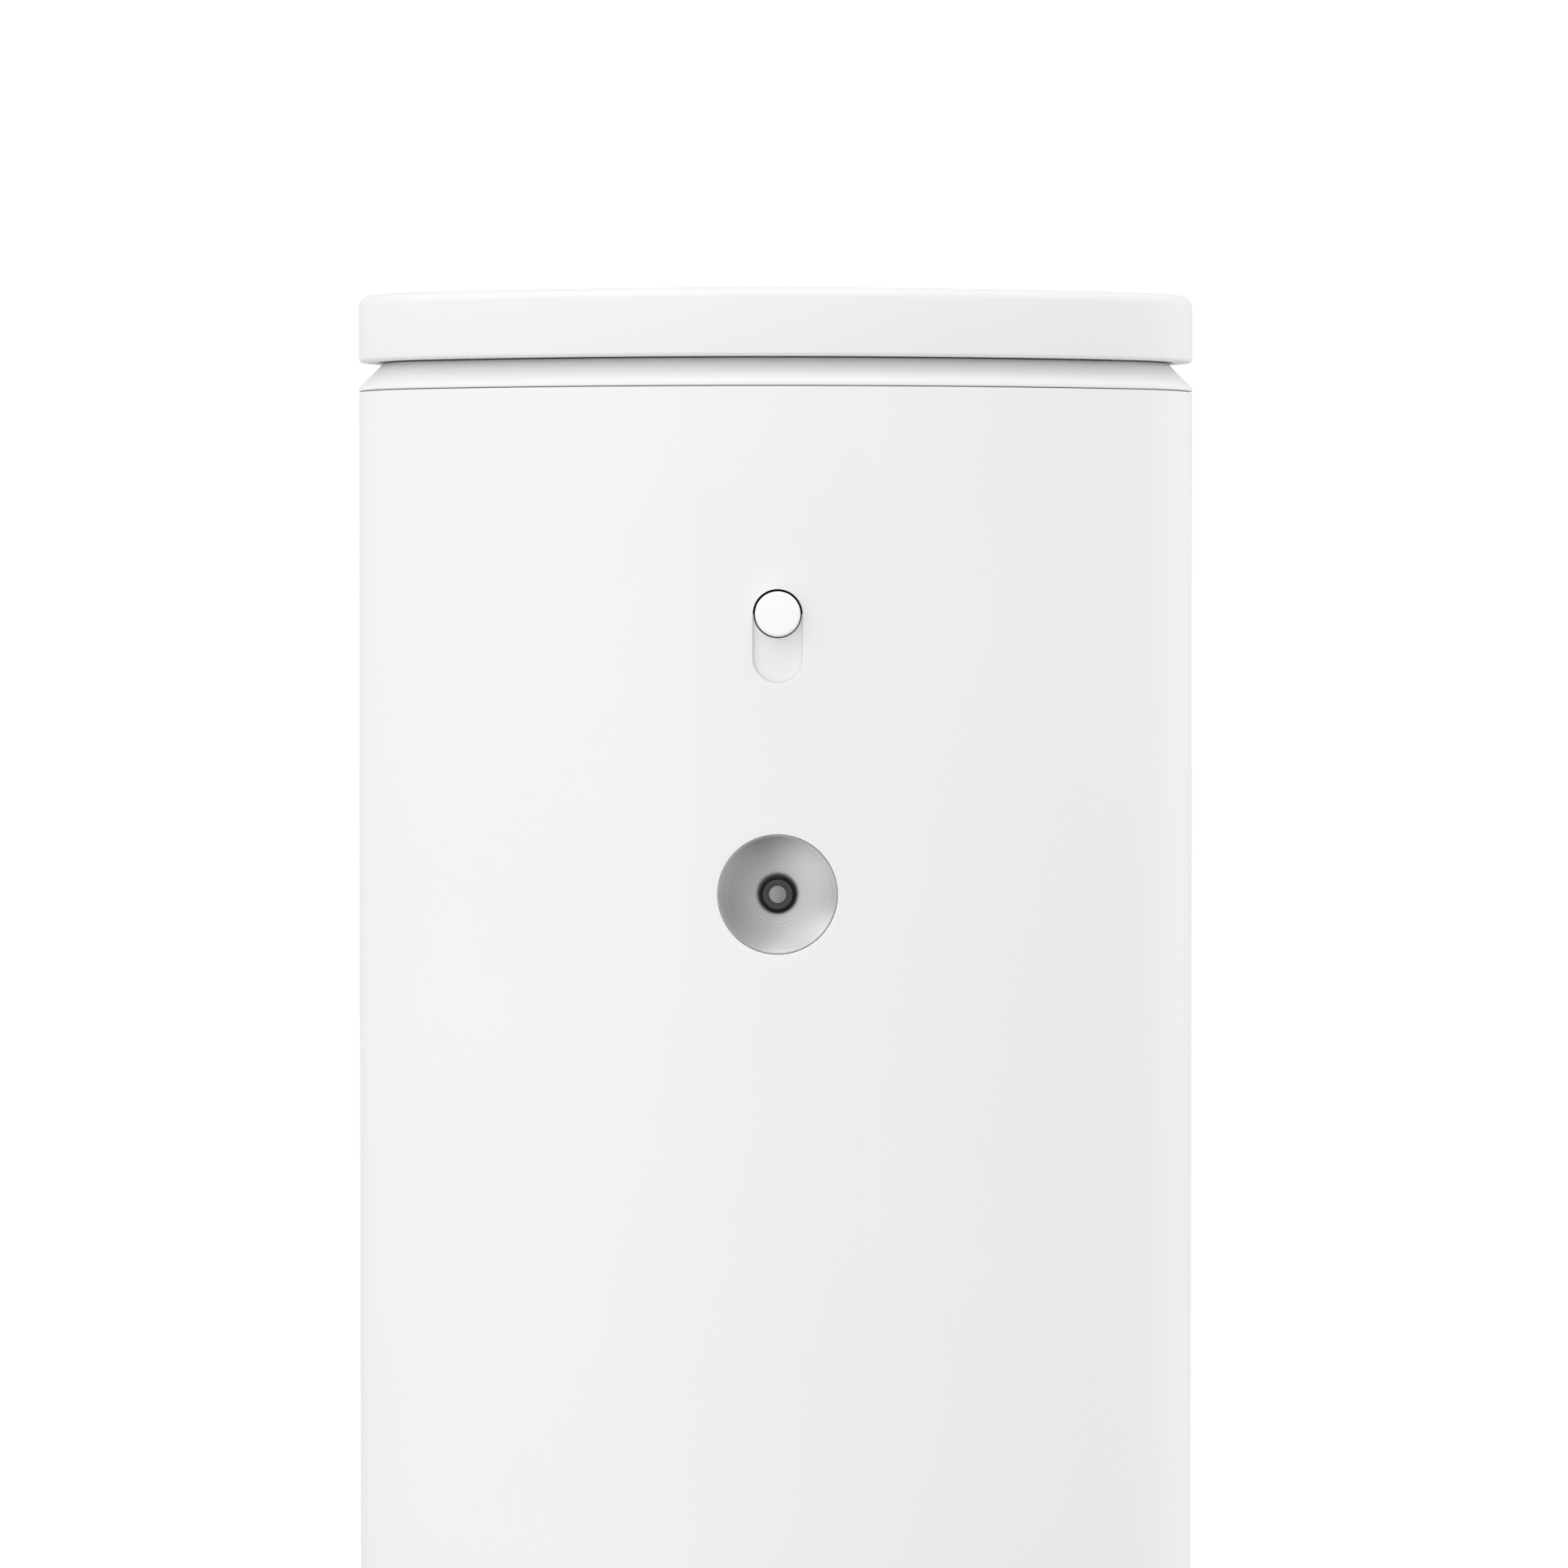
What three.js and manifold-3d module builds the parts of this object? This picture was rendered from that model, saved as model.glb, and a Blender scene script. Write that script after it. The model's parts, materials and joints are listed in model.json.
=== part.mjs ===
// Slim oval air purifier: a tall white sleeve on a slotted intake base, with a lift-off lid
// over a sloping collar. A sliding knob and a low-voltage inlet sit on the control face (-Y).
// Units are millimetres, +Z is up, and the origin is the middle of the footprint.
import * as THREE from 'three';
import { mergeVertices } from 'three/addons/utils/BufferGeometryUtils.js';
import Module from 'manifold-3d';

const wasm = await Module();
wasm.setup();

// Driving dimensions ---------------------------------------------------------------------

const width = 260;
const depth = 124;
const height = 520;
const endRadius = 37;
const gap = 0.3;
const knobStandsOut = 4.3;
const axisY = knobStandsOut / 2;

const lidHeight = 20.8;
const lidBottom = height - lidHeight;
const lidTopEdge = 3.4;
const lidLowerEdge = 1.3;
const rimWidth = 6.5;
const seam = 490;
const collarBottom = seam + gap;
const slopeInset = 8.2;
const slopeTop = lidBottom - 0.3;

const wall = 2.6;
const shellBottom = 30;
const baseTop = shellBottom - 6.4;
const baseBottom = 2.5;
const floorTop = 33.6;
const deckTop = 487.5;
const shelfTop = 150;

const controlFace = -depth / 2;
const slotWidth = 15.1;
const slotTop = 428.7;
const slotBottom = 400.3;
const knobRadius = 6.85;
const knobHeight = slotTop - slotWidth / 2;
const slideTravel = slotTop - slotBottom - slotWidth;
const shutterDepth = 1.6;
const inletHeight = 336.3;
const dishRadius = 18.2;
const dishDepth = 4.6;
const dishRim = controlFace + 0.65;

const cartridge = { x: 160, y: 40, bottom: shelfTop + 0.5, top: 484.5, middle: 12 };
const fan = { side: 92, thick: 25.4, bore: 44.3, hole: 41.25, bottom: floorTop + gap };
const post = { x: 100, y: 15, radius: 4 };
const baseScrewPlace = { x: 84, y: 20 };
const footPlace = { x: 96, y: 16 };
const guideScrewX = 15.5;
const boardFront = controlFace + 19;

// Finishes -------------------------------------------------------------------------------

const finish = (color, roughness, metalness = 0) =>
  new THREE.MeshStandardMaterial({ color, roughness, metalness });
const whiteShell = finish(0xf1f1f1, 0.42);
const knobWhite = finish(0xfafafa, 0.35);
const blackPlastic = finish(0x141415, 0.5);
const greyPlastic = finish(0x47464a, 0.6);
const innerWhite = finish(0xd9dadb, 0.6);
const spunMetal = finish(0xb9b9b9, 0.33, 1);
const polishedMetal = finish(0xcfcfcf, 0.2, 1);
const steel = finish(0x9a9c9f, 0.35, 1);
const copper = finish(0xb8713a, 0.4, 1);
const rubber = finish(0x2a2a2b, 0.85);
const foam = finish(0x5b5d60, 0.95);
const paper = finish(0xf4f3ee, 0.9);
const carbon = finish(0x1b1c1d, 0.95);
const fabric = finish(0x6f7478, 0.9);
const circuit = finish(0x1f5a3a, 0.5);

// Solid tools ----------------------------------------------------------------------------

function solid(geometry) {
  const bare = geometry.clone();
  for (const name of Object.keys(bare.attributes)) {
    if (name !== 'position') bare.deleteAttribute(name);
  }
  const merged = mergeVertices(bare, 1e-4);
  return new wasm.Manifold(new wasm.Mesh({
    numProp: 3,
    vertProperties: new Float32Array(merged.attributes.position.array),
    triVerts: new Uint32Array(merged.index.array),
  }));
}

function geometryOf(body) {
  const mesh = body.getMesh();
  const geometry = new THREE.BufferGeometry();
  geometry.setAttribute('position', new THREE.BufferAttribute(mesh.vertProperties, 3));
  geometry.setIndex(new THREE.BufferAttribute(mesh.triVerts, 1));
  geometry.computeVertexNormals();
  return geometry;
}

const cut = (body, ...tools) => tools.reduce((rest, tool) => rest.subtract(tool), body);
const join = (body, ...others) => others.reduce((sum, other) => sum.add(other), body);

function block(x, y, z) {
  const size = [x, y, z].map(([low, high]) => high - low);
  const geometry = new THREE.BoxGeometry(...size);
  geometry.translate((x[0] + x[1]) / 2, (y[0] + y[1]) / 2, (z[0] + z[1]) / 2);
  return solid(geometry);
}

// Turns a profile of [radius, height] points about an upright axis.
function turned(profile, segments = 24, x = 0, y = 0) {
  const points = profile.map(([r, z]) => new THREE.Vector2(r, z));
  const geometry = new THREE.LatheGeometry(points, segments);
  geometry.rotateX(Math.PI / 2);
  geometry.translate(x, y, 0);
  return solid(geometry);
}

const disc = (radius, low, high, segments = 24, x = 0, y = 0) =>
  turned([[0, low], [radius, low], [radius, high], [0, high]], segments, x, y);
const ring = (inner, outer, low, high, segments = 24, x = 0, y = 0) =>
  turned([[inner, low], [outer, low], [outer, high], [inner, high], [inner, low]], segments, x, y);

// Turns a profile of [radius, y] points about an axis that runs front to back.
function turnedAcross(profile, segments, x, z) {
  const points = profile.map(([r, along]) => new THREE.Vector2(r, along));
  const geometry = new THREE.LatheGeometry(points, segments);
  geometry.translate(x, 0, z);
  return solid(geometry);
}

const rodAcross = (radius, front, back, segments, x, z) =>
  turnedAcross([[0, front], [radius, front], [radius, back], [0, back]], segments, x, z);

// The oval section is four arcs: two wide ones front and back, two tight ones at the ends.
const halfWidth = width / 2;
const halfDepth = depth / 2;
const endCentre = halfWidth - endRadius;
const faceRadius = (endCentre ** 2 + halfDepth ** 2 - endRadius ** 2) / (2 * (halfDepth - endRadius));
const faceCentre = faceRadius - halfDepth;
const faceAngle = Math.asin(endCentre / (faceRadius - endRadius));
const endAngle = Math.PI / 2 - faceAngle;

function ovalPoints(inset, faceSteps = 12, endSteps = 8) {
  const arcs = [
    [endCentre, 0, endRadius, 0, endAngle, endSteps],
    [0, -faceCentre, faceRadius, Math.PI / 2, faceAngle, faceSteps],
    [-endCentre, 0, endRadius, Math.PI, endAngle, endSteps],
    [0, faceCentre, faceRadius, 1.5 * Math.PI, faceAngle, faceSteps],
  ];
  return arcs.flatMap(([x, y, radius, middle, half, steps]) =>
    Array.from({ length: steps }, (_, step) => {
      const angle = middle - half + (2 * half * step) / steps;
      const reach = radius - inset;
      return new THREE.Vector2(x + reach * Math.cos(angle), y + reach * Math.sin(angle));
    }));
}

// Skins a stack of outlines, each [points, z], into one closed solid.
function stack(levels) {
  const count = levels[0][0].length;
  const positions = [];
  const faces = [];
  for (const [points, z] of levels) {
    for (const point of points) positions.push(point.x, point.y, z);
  }
  for (let level = 0; level < levels.length - 1; level += 1) {
    for (let i = 0; i < count; i += 1) {
      const here = level * count + i;
      const next = level * count + ((i + 1) % count);
      faces.push(here, next, next + count, here, next + count, here + count);
    }
  }
  const addCap = (level, upward) => {
    for (const face of THREE.ShapeUtils.triangulateShape(levels[level][0], [])) {
      const corners = face.map((corner) => corner + level * count);
      faces.push(...(upward ? corners : corners.reverse()));
    }
  };
  addCap(0, false);
  addCap(levels.length - 1, true);
  const geometry = new THREE.BufferGeometry();
  geometry.setAttribute('position', new THREE.Float32BufferAttribute(positions, 3));
  geometry.setIndex(faces);
  return solid(geometry);
}

const ovalStack = (profile) => stack(profile.map(([inset, z]) => [ovalPoints(inset), z]));
const ovalPlate = (inset, low, high) => ovalStack([[inset, low], [inset, high]]);
const ovalRing = (outer, inner, low, high) =>
  cut(ovalPlate(outer, low, high), ovalPlate(inner, low - 1, high + 1));

// Points of a quarter round from an upright side to a level face, as [inset, z].
function quarterRound(radius, sideZ, steps) {
  const up = Math.sign(radius);
  const size = Math.abs(radius);
  return Array.from({ length: steps + 1 }, (_, step) => {
    const angle = (step / steps) * (Math.PI / 2);
    return [size * (1 - Math.cos(angle)), sideZ + up * size * Math.sin(angle)];
  });
}

// Extrudes an upright stadium front to back.
function stadium(half, low, high, front, back) {
  const shape = new THREE.Shape();
  shape.absarc(0, high - half, half, 0, Math.PI, false);
  shape.absarc(0, low + half, half, Math.PI, 2 * Math.PI, false);
  const options = { depth: back - front, bevelEnabled: false, curveSegments: 8 };
  const geometry = new THREE.ExtrudeGeometry(shape, options);
  geometry.rotateX(Math.PI / 2);
  geometry.translate(0, back, 0);
  return solid(geometry);
}

// A round lead through a few points, with six sides.
function lead(points, diameter) {
  const section = new THREE.Shape();
  section.absarc(0, 0, diameter / 2, 0, 2 * Math.PI, false);
  const route = new THREE.CatmullRomCurve3(points.map((point) => new THREE.Vector3(...point)));
  return solid(new THREE.ExtrudeGeometry(section, {
    extrudePath: route, steps: points.length * 3, curveSegments: 3, bevelEnabled: false,
  }));
}

const model = new THREE.Group();
model.position.y = axisY;

function add(name, body, material) {
  const mesh = new THREE.Mesh(geometryOf(body), material);
  mesh.name = name;
  model.add(mesh);
}

// Lid ------------------------------------------------------------------------------------

const linerPlate = 505;
const lidCeiling = height - 3;

function lidCap() {
  const outside = ovalStack([
    ...quarterRound(-lidLowerEdge, lidBottom + lidLowerEdge, 2).reverse(),
    ...quarterRound(lidTopEdge, height - lidTopEdge, 4),
  ]);
  const hollow = ovalPlate(3.2, lidBottom - 1, lidCeiling);
  return cut(outside, hollow);
}

// The liner closes the lid's underside and is the ceiling that turns the air outwards.
function lidLiner() {
  const outside = ovalPlate(3.2 + gap, lidBottom, linerPlate + 2.4);
  const channel = ovalPlate(rimWidth, lidBottom - 1, linerPlate);
  return cut(outside, channel);
}

const postFoot = deckTop + gap;
function lidPost(x, y) {
  return turned([
    [0, deckTop - 3.2], [1.6, deckTop - 3.2], [2, deckTop - 2.4], [2, postFoot],
    [post.radius, postFoot], [post.radius, linerPlate - gap], [0, linerPlate - gap],
  ], 16, x, y);
}

add('lid_cap', lidCap(), whiteShell);
add('lid_liner', lidLiner(), innerWhite);
const corners = [[1, -1], [1, 1], [-1, 1], [-1, -1]];
corners.forEach(([sx, sy], i) => {
  add(`lid_post_${i + 1}`, lidPost(sx * post.x, sy * post.y), polishedMetal);
});

// Collar and sleeve ----------------------------------------------------------------------

function deflectorRing() {
  const outside = ovalStack([
    [0, collarBottom], [0, collarBottom + 0.9], [0.45, collarBottom + 1.5],
    [slopeInset, slopeTop], [slopeInset + 1.4, slopeTop],
  ]);
  const bore = ovalPlate(slopeInset + 1.4 + 0.2, collarBottom - 1, slopeTop + 1);
  const skirt = ovalRing(wall + gap, wall + gap + 2, collarBottom - 8, collarBottom + 2);
  return join(cut(outside, bore), skirt);
}

const pocket = { half: 9.2, low: 383.6, high: 430, face: controlFace + 1.05 };
const bossRadius = 2.8;
const bossEnd = controlFace + 9.2;

function bodyShell() {
  const sleeve = ovalRing(0, wall, shellBottom, seam);
  const bosses = [-guideScrewX, guideScrewX].map((x) =>
    rodAcross(bossRadius, controlFace + 1.8, bossEnd, 12, x, knobHeight - 12));
  const pilots = [-guideScrewX, guideScrewX].map((x) =>
    rodAcross(1.3, bossEnd - 5, bossEnd + 1, 8, x, knobHeight - 12));
  return cut(
    join(sleeve, ...bosses),
    ...pilots,
    stadium(slotWidth / 2, slotBottom, slotTop, controlFace - 1, controlFace + 6),
    block([-pocket.half, pocket.half], [pocket.face, controlFace + 6], [pocket.low, pocket.high]),
    rodAcross(dishRadius, controlFace - 1, controlFace + 6, 32, 0, inletHeight),
  );
}

add('deflector_ring', deflectorRing(), whiteShell);
add('body_shell', bodyShell(), whiteShell);

// Base -----------------------------------------------------------------------------------

function basePlate() {
  const outside = ovalStack([
    ...quarterRound(-lidLowerEdge, baseBottom + lidLowerEdge, 2).reverse(),
    [0, baseTop - slopeInset - 0.6], [0.45, baseTop - slopeInset],
    [slopeInset + 0.1, baseTop], [slopeInset + 1, baseTop],
  ]);
  const tray = ovalPlate(12, 6, baseTop + 1);
  const stands = corners.map(([sx, sy]) =>
    disc(4.5, 5, baseTop, 12, sx * baseScrewPlace.x, sy * baseScrewPlace.y));
  const holes = corners.flatMap(([sx, sy]) => {
    const x = sx * baseScrewPlace.x;
    const y = sy * baseScrewPlace.y;
    return [disc(1.9, 0, baseTop + 1, 8, x, y), disc(3.9, 0, 5, 12, x, y)];
  });
  const footWells = corners.map(([sx, sy]) =>
    disc(7.3, 0, baseBottom + 1, 16, sx * footPlace.x, sy * footPlace.y));
  return cut(join(cut(outside, tray), ...stands), ...holes, ...footWells);
}

const footPad = (x, y) => turned([
  [0, 0], [6.2, 0], [7, 0.8], [7, baseBottom + 1 - gap], [0, baseBottom + 1 - gap],
], 16, x, y);

const baseScrew = (x, y) => turned([
  [0, 3.2], [3.4, 3.2], [3.4, 4.7], [1.6, 4.7], [1.6, floorTop - 2], [0, floorTop - 0.6],
], 12, x, y);

const grilleInset = 9.3;
const slotPitch = 16;

// One upright air slot for each step round the ring, cut square to the ring's outline.
function intakeGrille() {
  const low = baseTop + gap;
  const high = shellBottom;
  const middle = ovalPoints(grilleInset + 1, 480, 160);
  const tools = [];
  let walked = 0;
  for (let i = 1; i < middle.length; i += 1) {
    walked += middle[i].distanceTo(middle[i - 1]);
    if (walked >= slotPitch) {
      walked -= slotPitch;
      const along = middle[i].clone().sub(middle[i - 1]);
      const geometry = new THREE.BoxGeometry(slotPitch * 0.6, 8, high - low - 2.2);
      geometry.rotateZ(along.angle());
      geometry.translate(middle[i].x, middle[i].y, (low + high) / 2);
      tools.push(solid(geometry));
    }
  }
  return cut(ovalRing(grilleInset, grilleInset + 2, low, high), ...tools);
}

function chassisFloor() {
  const plate = ovalPlate(wall + gap, shellBottom + gap, floorTop);
  const bosses = corners.map(([sx, sy]) =>
    disc(4.5, baseTop + gap, floorTop, 12, sx * baseScrewPlace.x, sy * baseScrewPlace.y));
  const pilots = corners.map(([sx, sy]) =>
    disc(1.85, baseTop - 1, floorTop + 1, 8, sx * baseScrewPlace.x, sy * baseScrewPlace.y));
  return cut(join(plate, ...bosses), ...pilots, disc(fan.bore, 20, floorTop + 1, 40));
}

add('base_plate', basePlate(), whiteShell);
add('intake_grille', intakeGrille(), blackPlastic);
add('chassis_floor', chassisFloor(), innerWhite);
corners.forEach(([sx, sy], i) => {
  add(`foot_pad_${i + 1}`, footPad(sx * footPlace.x, sy * footPlace.y), rubber);
});
corners.forEach(([sx, sy], i) => {
  add(`base_screw_${i + 1}`, baseScrew(sx * baseScrewPlace.x, sy * baseScrewPlace.y), steel);
});

// Fan ------------------------------------------------------------------------------------

const hubTop = fan.bottom + 24.5;

function fanFrame() {
  const half = fan.side / 2;
  const top = fan.bottom + fan.thick;
  const shellOfFan = cut(
    block([-half, half], [-half, half], [fan.bottom, top]),
    disc(fan.bore, fan.bottom - 1, top + 1, 40),
    ...corners.map(([sx, sy]) =>
      disc(2.15, fan.bottom - 1, top + 1, 12, sx * fan.hole, sy * fan.hole)),
  );
  const strut = () => block([-1.6, 1.6], [12, fan.bore + 0.5], [fan.bottom, fan.bottom + 2]);
  const struts = [20, 110, 200, 290].map((turn) => strut().rotate([0, 0, turn]));
  const seat = disc(18, fan.bottom, fan.bottom + 2, 24);
  const tube = ring(4.1, 5.2, fan.bottom + 1, fan.bottom + 17.5, 20);
  return join(shellOfFan, ...struts, seat, tube);
}

function impeller() {
  const hub = turned([
    [0, hubTop - 0.9], [1.6, hubTop - 0.9], [1.6, hubTop - 5], [3.6, hubTop - 5],
    [3.6, hubTop - 2], [18.2, hubTop - 2], [18.2, fan.bottom + 4.5], [20, fan.bottom + 4.5],
    [20, hubTop - 1], [19, hubTop], [0, hubTop],
  ], 28);
  const bladeCount = 7;
  const blades = Array.from({ length: bladeCount }, (_, i) => {
    const geometry = new THREE.BoxGeometry(25, 1.5, 26, 3, 1, 1);
    const place = geometry.attributes.position;
    for (let v = 0; v < place.count; v += 1) {
      const along = place.getX(v) / 25 + 0.5;
      const twist = THREE.MathUtils.degToRad(38 + 22 * along);
      const [y, z] = [place.getY(v), place.getZ(v)];
      place.setY(v, y * Math.cos(twist) - z * Math.sin(twist));
      place.setZ(v, y * Math.sin(twist) + z * Math.cos(twist));
    }
    geometry.translate(30.8, 0, (hubTop + fan.bottom + 4.5) / 2);
    geometry.rotateZ((i * 2 * Math.PI) / bladeCount);
    return solid(geometry);
  });
  const swept = disc(fan.bore - 1, fan.bottom + 4.5, hubTop, 40);
  const core = disc(18.2, fan.bottom, hubTop - 2, 28);
  return join(hub, cut(join(...blades).intersect(swept), core));
}

function fanStator() {
  const teeth = 6;
  const slots = Array.from({ length: teeth }, (_, i) =>
    block([-1.5, 1.5], [9, 20], [fan.bottom, hubTop]).rotate([0, 0, (i * 360) / teeth]));
  return cut(ring(5.4, 15.6, fan.bottom + 6, fan.bottom + 18, 24), ...slots);
}

const fanBearing = (low) => ring(1.55, 4, low, low + 4, 20);

add('fan_frame', fanFrame(), blackPlastic);
add('impeller', impeller(), greyPlastic);
add('fan_shaft', disc(1.5, fan.bottom + 2.4, hubTop - 1.2, 20), steel);
add('rotor_magnet', ring(16.3, 17.9, fan.bottom + 5.5, hubTop - 2 - gap, 28), rubber);
add('fan_stator', fanStator(), copper);
add('fan_bearing_1', fanBearing(fan.bottom + 3), steel);
add('fan_bearing_2', fanBearing(fan.bottom + 13), steel);

// Filter bay -----------------------------------------------------------------------------

const bayHalf = cartridge.x / 2 + 0.5;
const bayFront = cartridge.middle - cartridge.y / 2 - 0.5;
const bayBack = cartridge.middle + cartridge.y / 2 + 0.5;
const bayWall = 1.8;

// The deck round the cartridge's mouth, with the outlet bars, and the side rails below it.
function filterBay() {
  const deck = ovalPlate(wall + gap + 2 + gap, deckTop - 2.5, deckTop);
  const outletBack = bayFront - bayWall - 0.4;
  const outlet = block([-72, 72], [outletBack - 17, outletBack], [deckTop - 4, deckTop + 1]);
  const bars = Array.from({ length: 17 }, (_, i) => {
    const x = (i - 8) * 8;
    return block([x - 1, x + 1], [outletBack - 18, outletBack + 1], [deckTop - 2.5, deckTop]);
  });
  const rail = (side) => {
    const inner = side * bayHalf;
    const outer = side * (bayHalf + bayWall);
    const lip = side * (bayHalf - 4);
    const span = (a, b) => [Math.min(a, b), Math.max(a, b)];
    const z = [shelfTop + gap, deckTop - 1];
    return join(
      block(span(inner, outer), [bayFront - bayWall, bayBack + bayWall], z),
      block(span(lip, outer), [bayFront - bayWall, bayFront], z),
      block(span(lip, outer), [bayBack, bayBack + bayWall], z),
    );
  };
  const mouth = block([-bayHalf, bayHalf], [bayFront, bayBack], [shelfTop, deckTop + 1]);
  const sockets = corners.map(([sx, sy]) =>
    disc(2.3, deckTop - 4, deckTop + 1, 12, sx * post.x, sy * post.y));
  return cut(join(cut(deck, outlet), ...bars, rail(-1), rail(1)), mouth, ...sockets);
}

// The shelf carries the cartridge and sends the fan's air up behind it.
function bayShelf() {
  const riser = block([-60, 60], [bayBack + 1, bayBack + 13], [0, shelfTop + 1]);
  const leadNotch = block([-46, -34], [-60, -46], [0, shelfTop + 1]);
  return cut(ovalPlate(wall + gap, shelfTop - 3, shelfTop), riser, leadNotch);
}

add('filter_bay', filterBay(), innerWhite);
add('bay_shelf', bayShelf(), innerWhite);

// Filter cartridge -----------------------------------------------------------------------

const filterX = [-cartridge.x / 2, cartridge.x / 2];
const filterY = [cartridge.middle - cartridge.y / 2, cartridge.middle + cartridge.y / 2];
const frameWall = 3;
const border = 7;

function filterFrame() {
  const z = [cartridge.bottom, cartridge.top];
  const inside = block(
    [filterX[0] + frameWall, filterX[1] - frameWall],
    [filterY[0] + 2, filterY[1] - 2],
    [z[0] + frameWall, z[1] - frameWall],
  );
  const window = block(
    [filterX[0] + border, filterX[1] - border],
    [filterY[0] - 1, filterY[1] + 1],
    [z[0] + border, z[1] - border],
  );
  const grip = block([-20, 20], [cartridge.middle - 4, cartridge.middle + 4], [z[1] - 4, z[1] + 1]);
  return cut(block(filterX, filterY, z), inside, window, grip);
}

const insideX = [filterX[0] + frameWall + gap, filterX[1] - frameWall - gap];
const insideZ = [cartridge.bottom + frameWall + gap, cartridge.top - frameWall - gap];
const carbonBack = filterY[0] + 2 + gap + 6;
const meshFront = filterY[1] - 2 - gap - 0.8;

// One zigzag sheet, folded across the cartridge and running its full height.
function hepaPleats() {
  const folds = 30;
  const sheet = 0.9;
  const front = carbonBack + gap;
  const back = meshFront - gap;
  const step = (insideX[1] - insideX[0] - 2 * sheet) / folds;
  const lower = Array.from({ length: folds + 1 }, (_, i) =>
    new THREE.Vector2(insideX[0] + sheet + i * step, i % 2 ? back - 2 * sheet : front));
  const upper = lower.map((point, i) =>
    new THREE.Vector2(point.x, point.y + (i % 2 ? sheet : 2 * sheet)));
  const shape = new THREE.Shape([...lower, ...upper.reverse()]);
  const options = { depth: insideZ[1] - insideZ[0], bevelEnabled: false };
  const geometry = new THREE.ExtrudeGeometry(shape, options);
  geometry.translate(0, 0, insideZ[0]);
  return solid(geometry);
}

function filterGasket() {
  const z = [cartridge.bottom + 1, cartridge.top - 1];
  const y = [filterY[0] - 0.4, filterY[0] - 0.1];
  return cut(
    block([filterX[0] + 4.6, filterX[1] - 4.6], y, [z[0] + 1, z[1] - 1]),
    block([filterX[0] + border, filterX[1] - border], [y[0] - 1, y[1] + 1],
      [z[0] + border - 1, z[1] - border + 1]),
  );
}

// A flat webbing loop that stands over the grip recess and pulls the cartridge up.
function pullTab() {
  const y = [cartridge.middle - 3, cartridge.middle + 3];
  const foot = cartridge.top - frameWall;
  return cut(
    block([-18, 18], y, [foot, cartridge.top + 9]),
    block([-16.6, 16.6], [y[0] - 1, y[1] + 1], [foot + 1.2, cartridge.top + 7.6]),
  );
}

add('filter_frame', filterFrame(), innerWhite);
add('hepa_pleats', hepaPleats(), paper);
add('carbon_mat', block(insideX, [filterY[0] + 2 + gap, carbonBack], insideZ), carbon);
add('prefilter_mesh', block(insideX, [meshFront, meshFront + 0.8], insideZ), greyPlastic);
add('filter_gasket', filterGasket(), foam);
add('pull_tab', pullTab(), fabric);

// Slider ---------------------------------------------------------------------------------

const shutterFace = controlFace + shutterDepth;
const knobFace = controlFace - knobStandsOut;
const carriageFront = shutterFace + 1.3 + gap;
const knobBack = carriageFront - gap;
const carriageBack = controlFace + 9;
const knobEdge = 0.8;

function sliderKnob() {
  const edge = Array.from({ length: 5 }, (_, i) => {
    const angle = (i / 4) * (Math.PI / 2);
    return [knobRadius - knobEdge * (1 - Math.sin(angle)), knobFace + knobEdge * (1 - Math.cos(angle))];
  });
  return turnedAcross([
    [0, knobFace], ...edge, [knobRadius, knobBack], [2.4, knobBack],
    [2.4, carriageBack - 0.2], [0.9, carriageBack - 0.2], [0.9, carriageBack - 5], [0, carriageBack - 5],
  ], 28, 0, knobHeight);
}

function sliderShutter() {
  const z = [slotBottom - 2.2, knobHeight];
  return cut(
    block([-8.4, 8.4], [shutterFace, shutterFace + 1.3], z),
    rodAcross(knobRadius + gap, shutterFace - 1, shutterFace + 3, 32, 0, knobHeight),
  );
}

function sliderCarriage() {
  return cut(
    block([-9.1, 9.1], [carriageFront, carriageBack], [knobHeight - 21, knobHeight + 4]),
    rodAcross(2.7, carriageFront - 1, carriageBack + 1, 20, 0, knobHeight),
    block([-2.2, 2.2], [carriageBack - 2.4, carriageBack + 1], [knobHeight - 14.2, knobHeight - 9.8]),
  );
}

const wiper = { half: 1.6, middle: knobHeight - 12 };

add('slider_knob', sliderKnob(), knobWhite);
add('slider_shutter', sliderShutter(), whiteShell);
add('slider_carriage', sliderCarriage(), blackPlastic);
add('knob_screw', turnedAcross([
  [0, carriageBack - 4.4], [0.7, carriageBack - 4.4], [0.7, carriageBack + 0.1],
  [3.4, carriageBack + 0.1 + gap], [3.4, carriageBack + 1.2], [0, carriageBack + 1.2],
], 16, 0, knobHeight), steel);
add('wiper_lever', block([-wiper.half, wiper.half], [carriageBack - 2, controlFace + 15.5],
  [wiper.middle - wiper.half, wiper.middle + wiper.half]), blackPlastic);

// Switch guide, slide control and board --------------------------------------------------

const guideFront = controlFace + 3.8;
const guidePlate = [controlFace + 10.6, controlFace + 12];
const guideZ = [slotBottom - 17.7, slotTop + 9.9];

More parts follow.
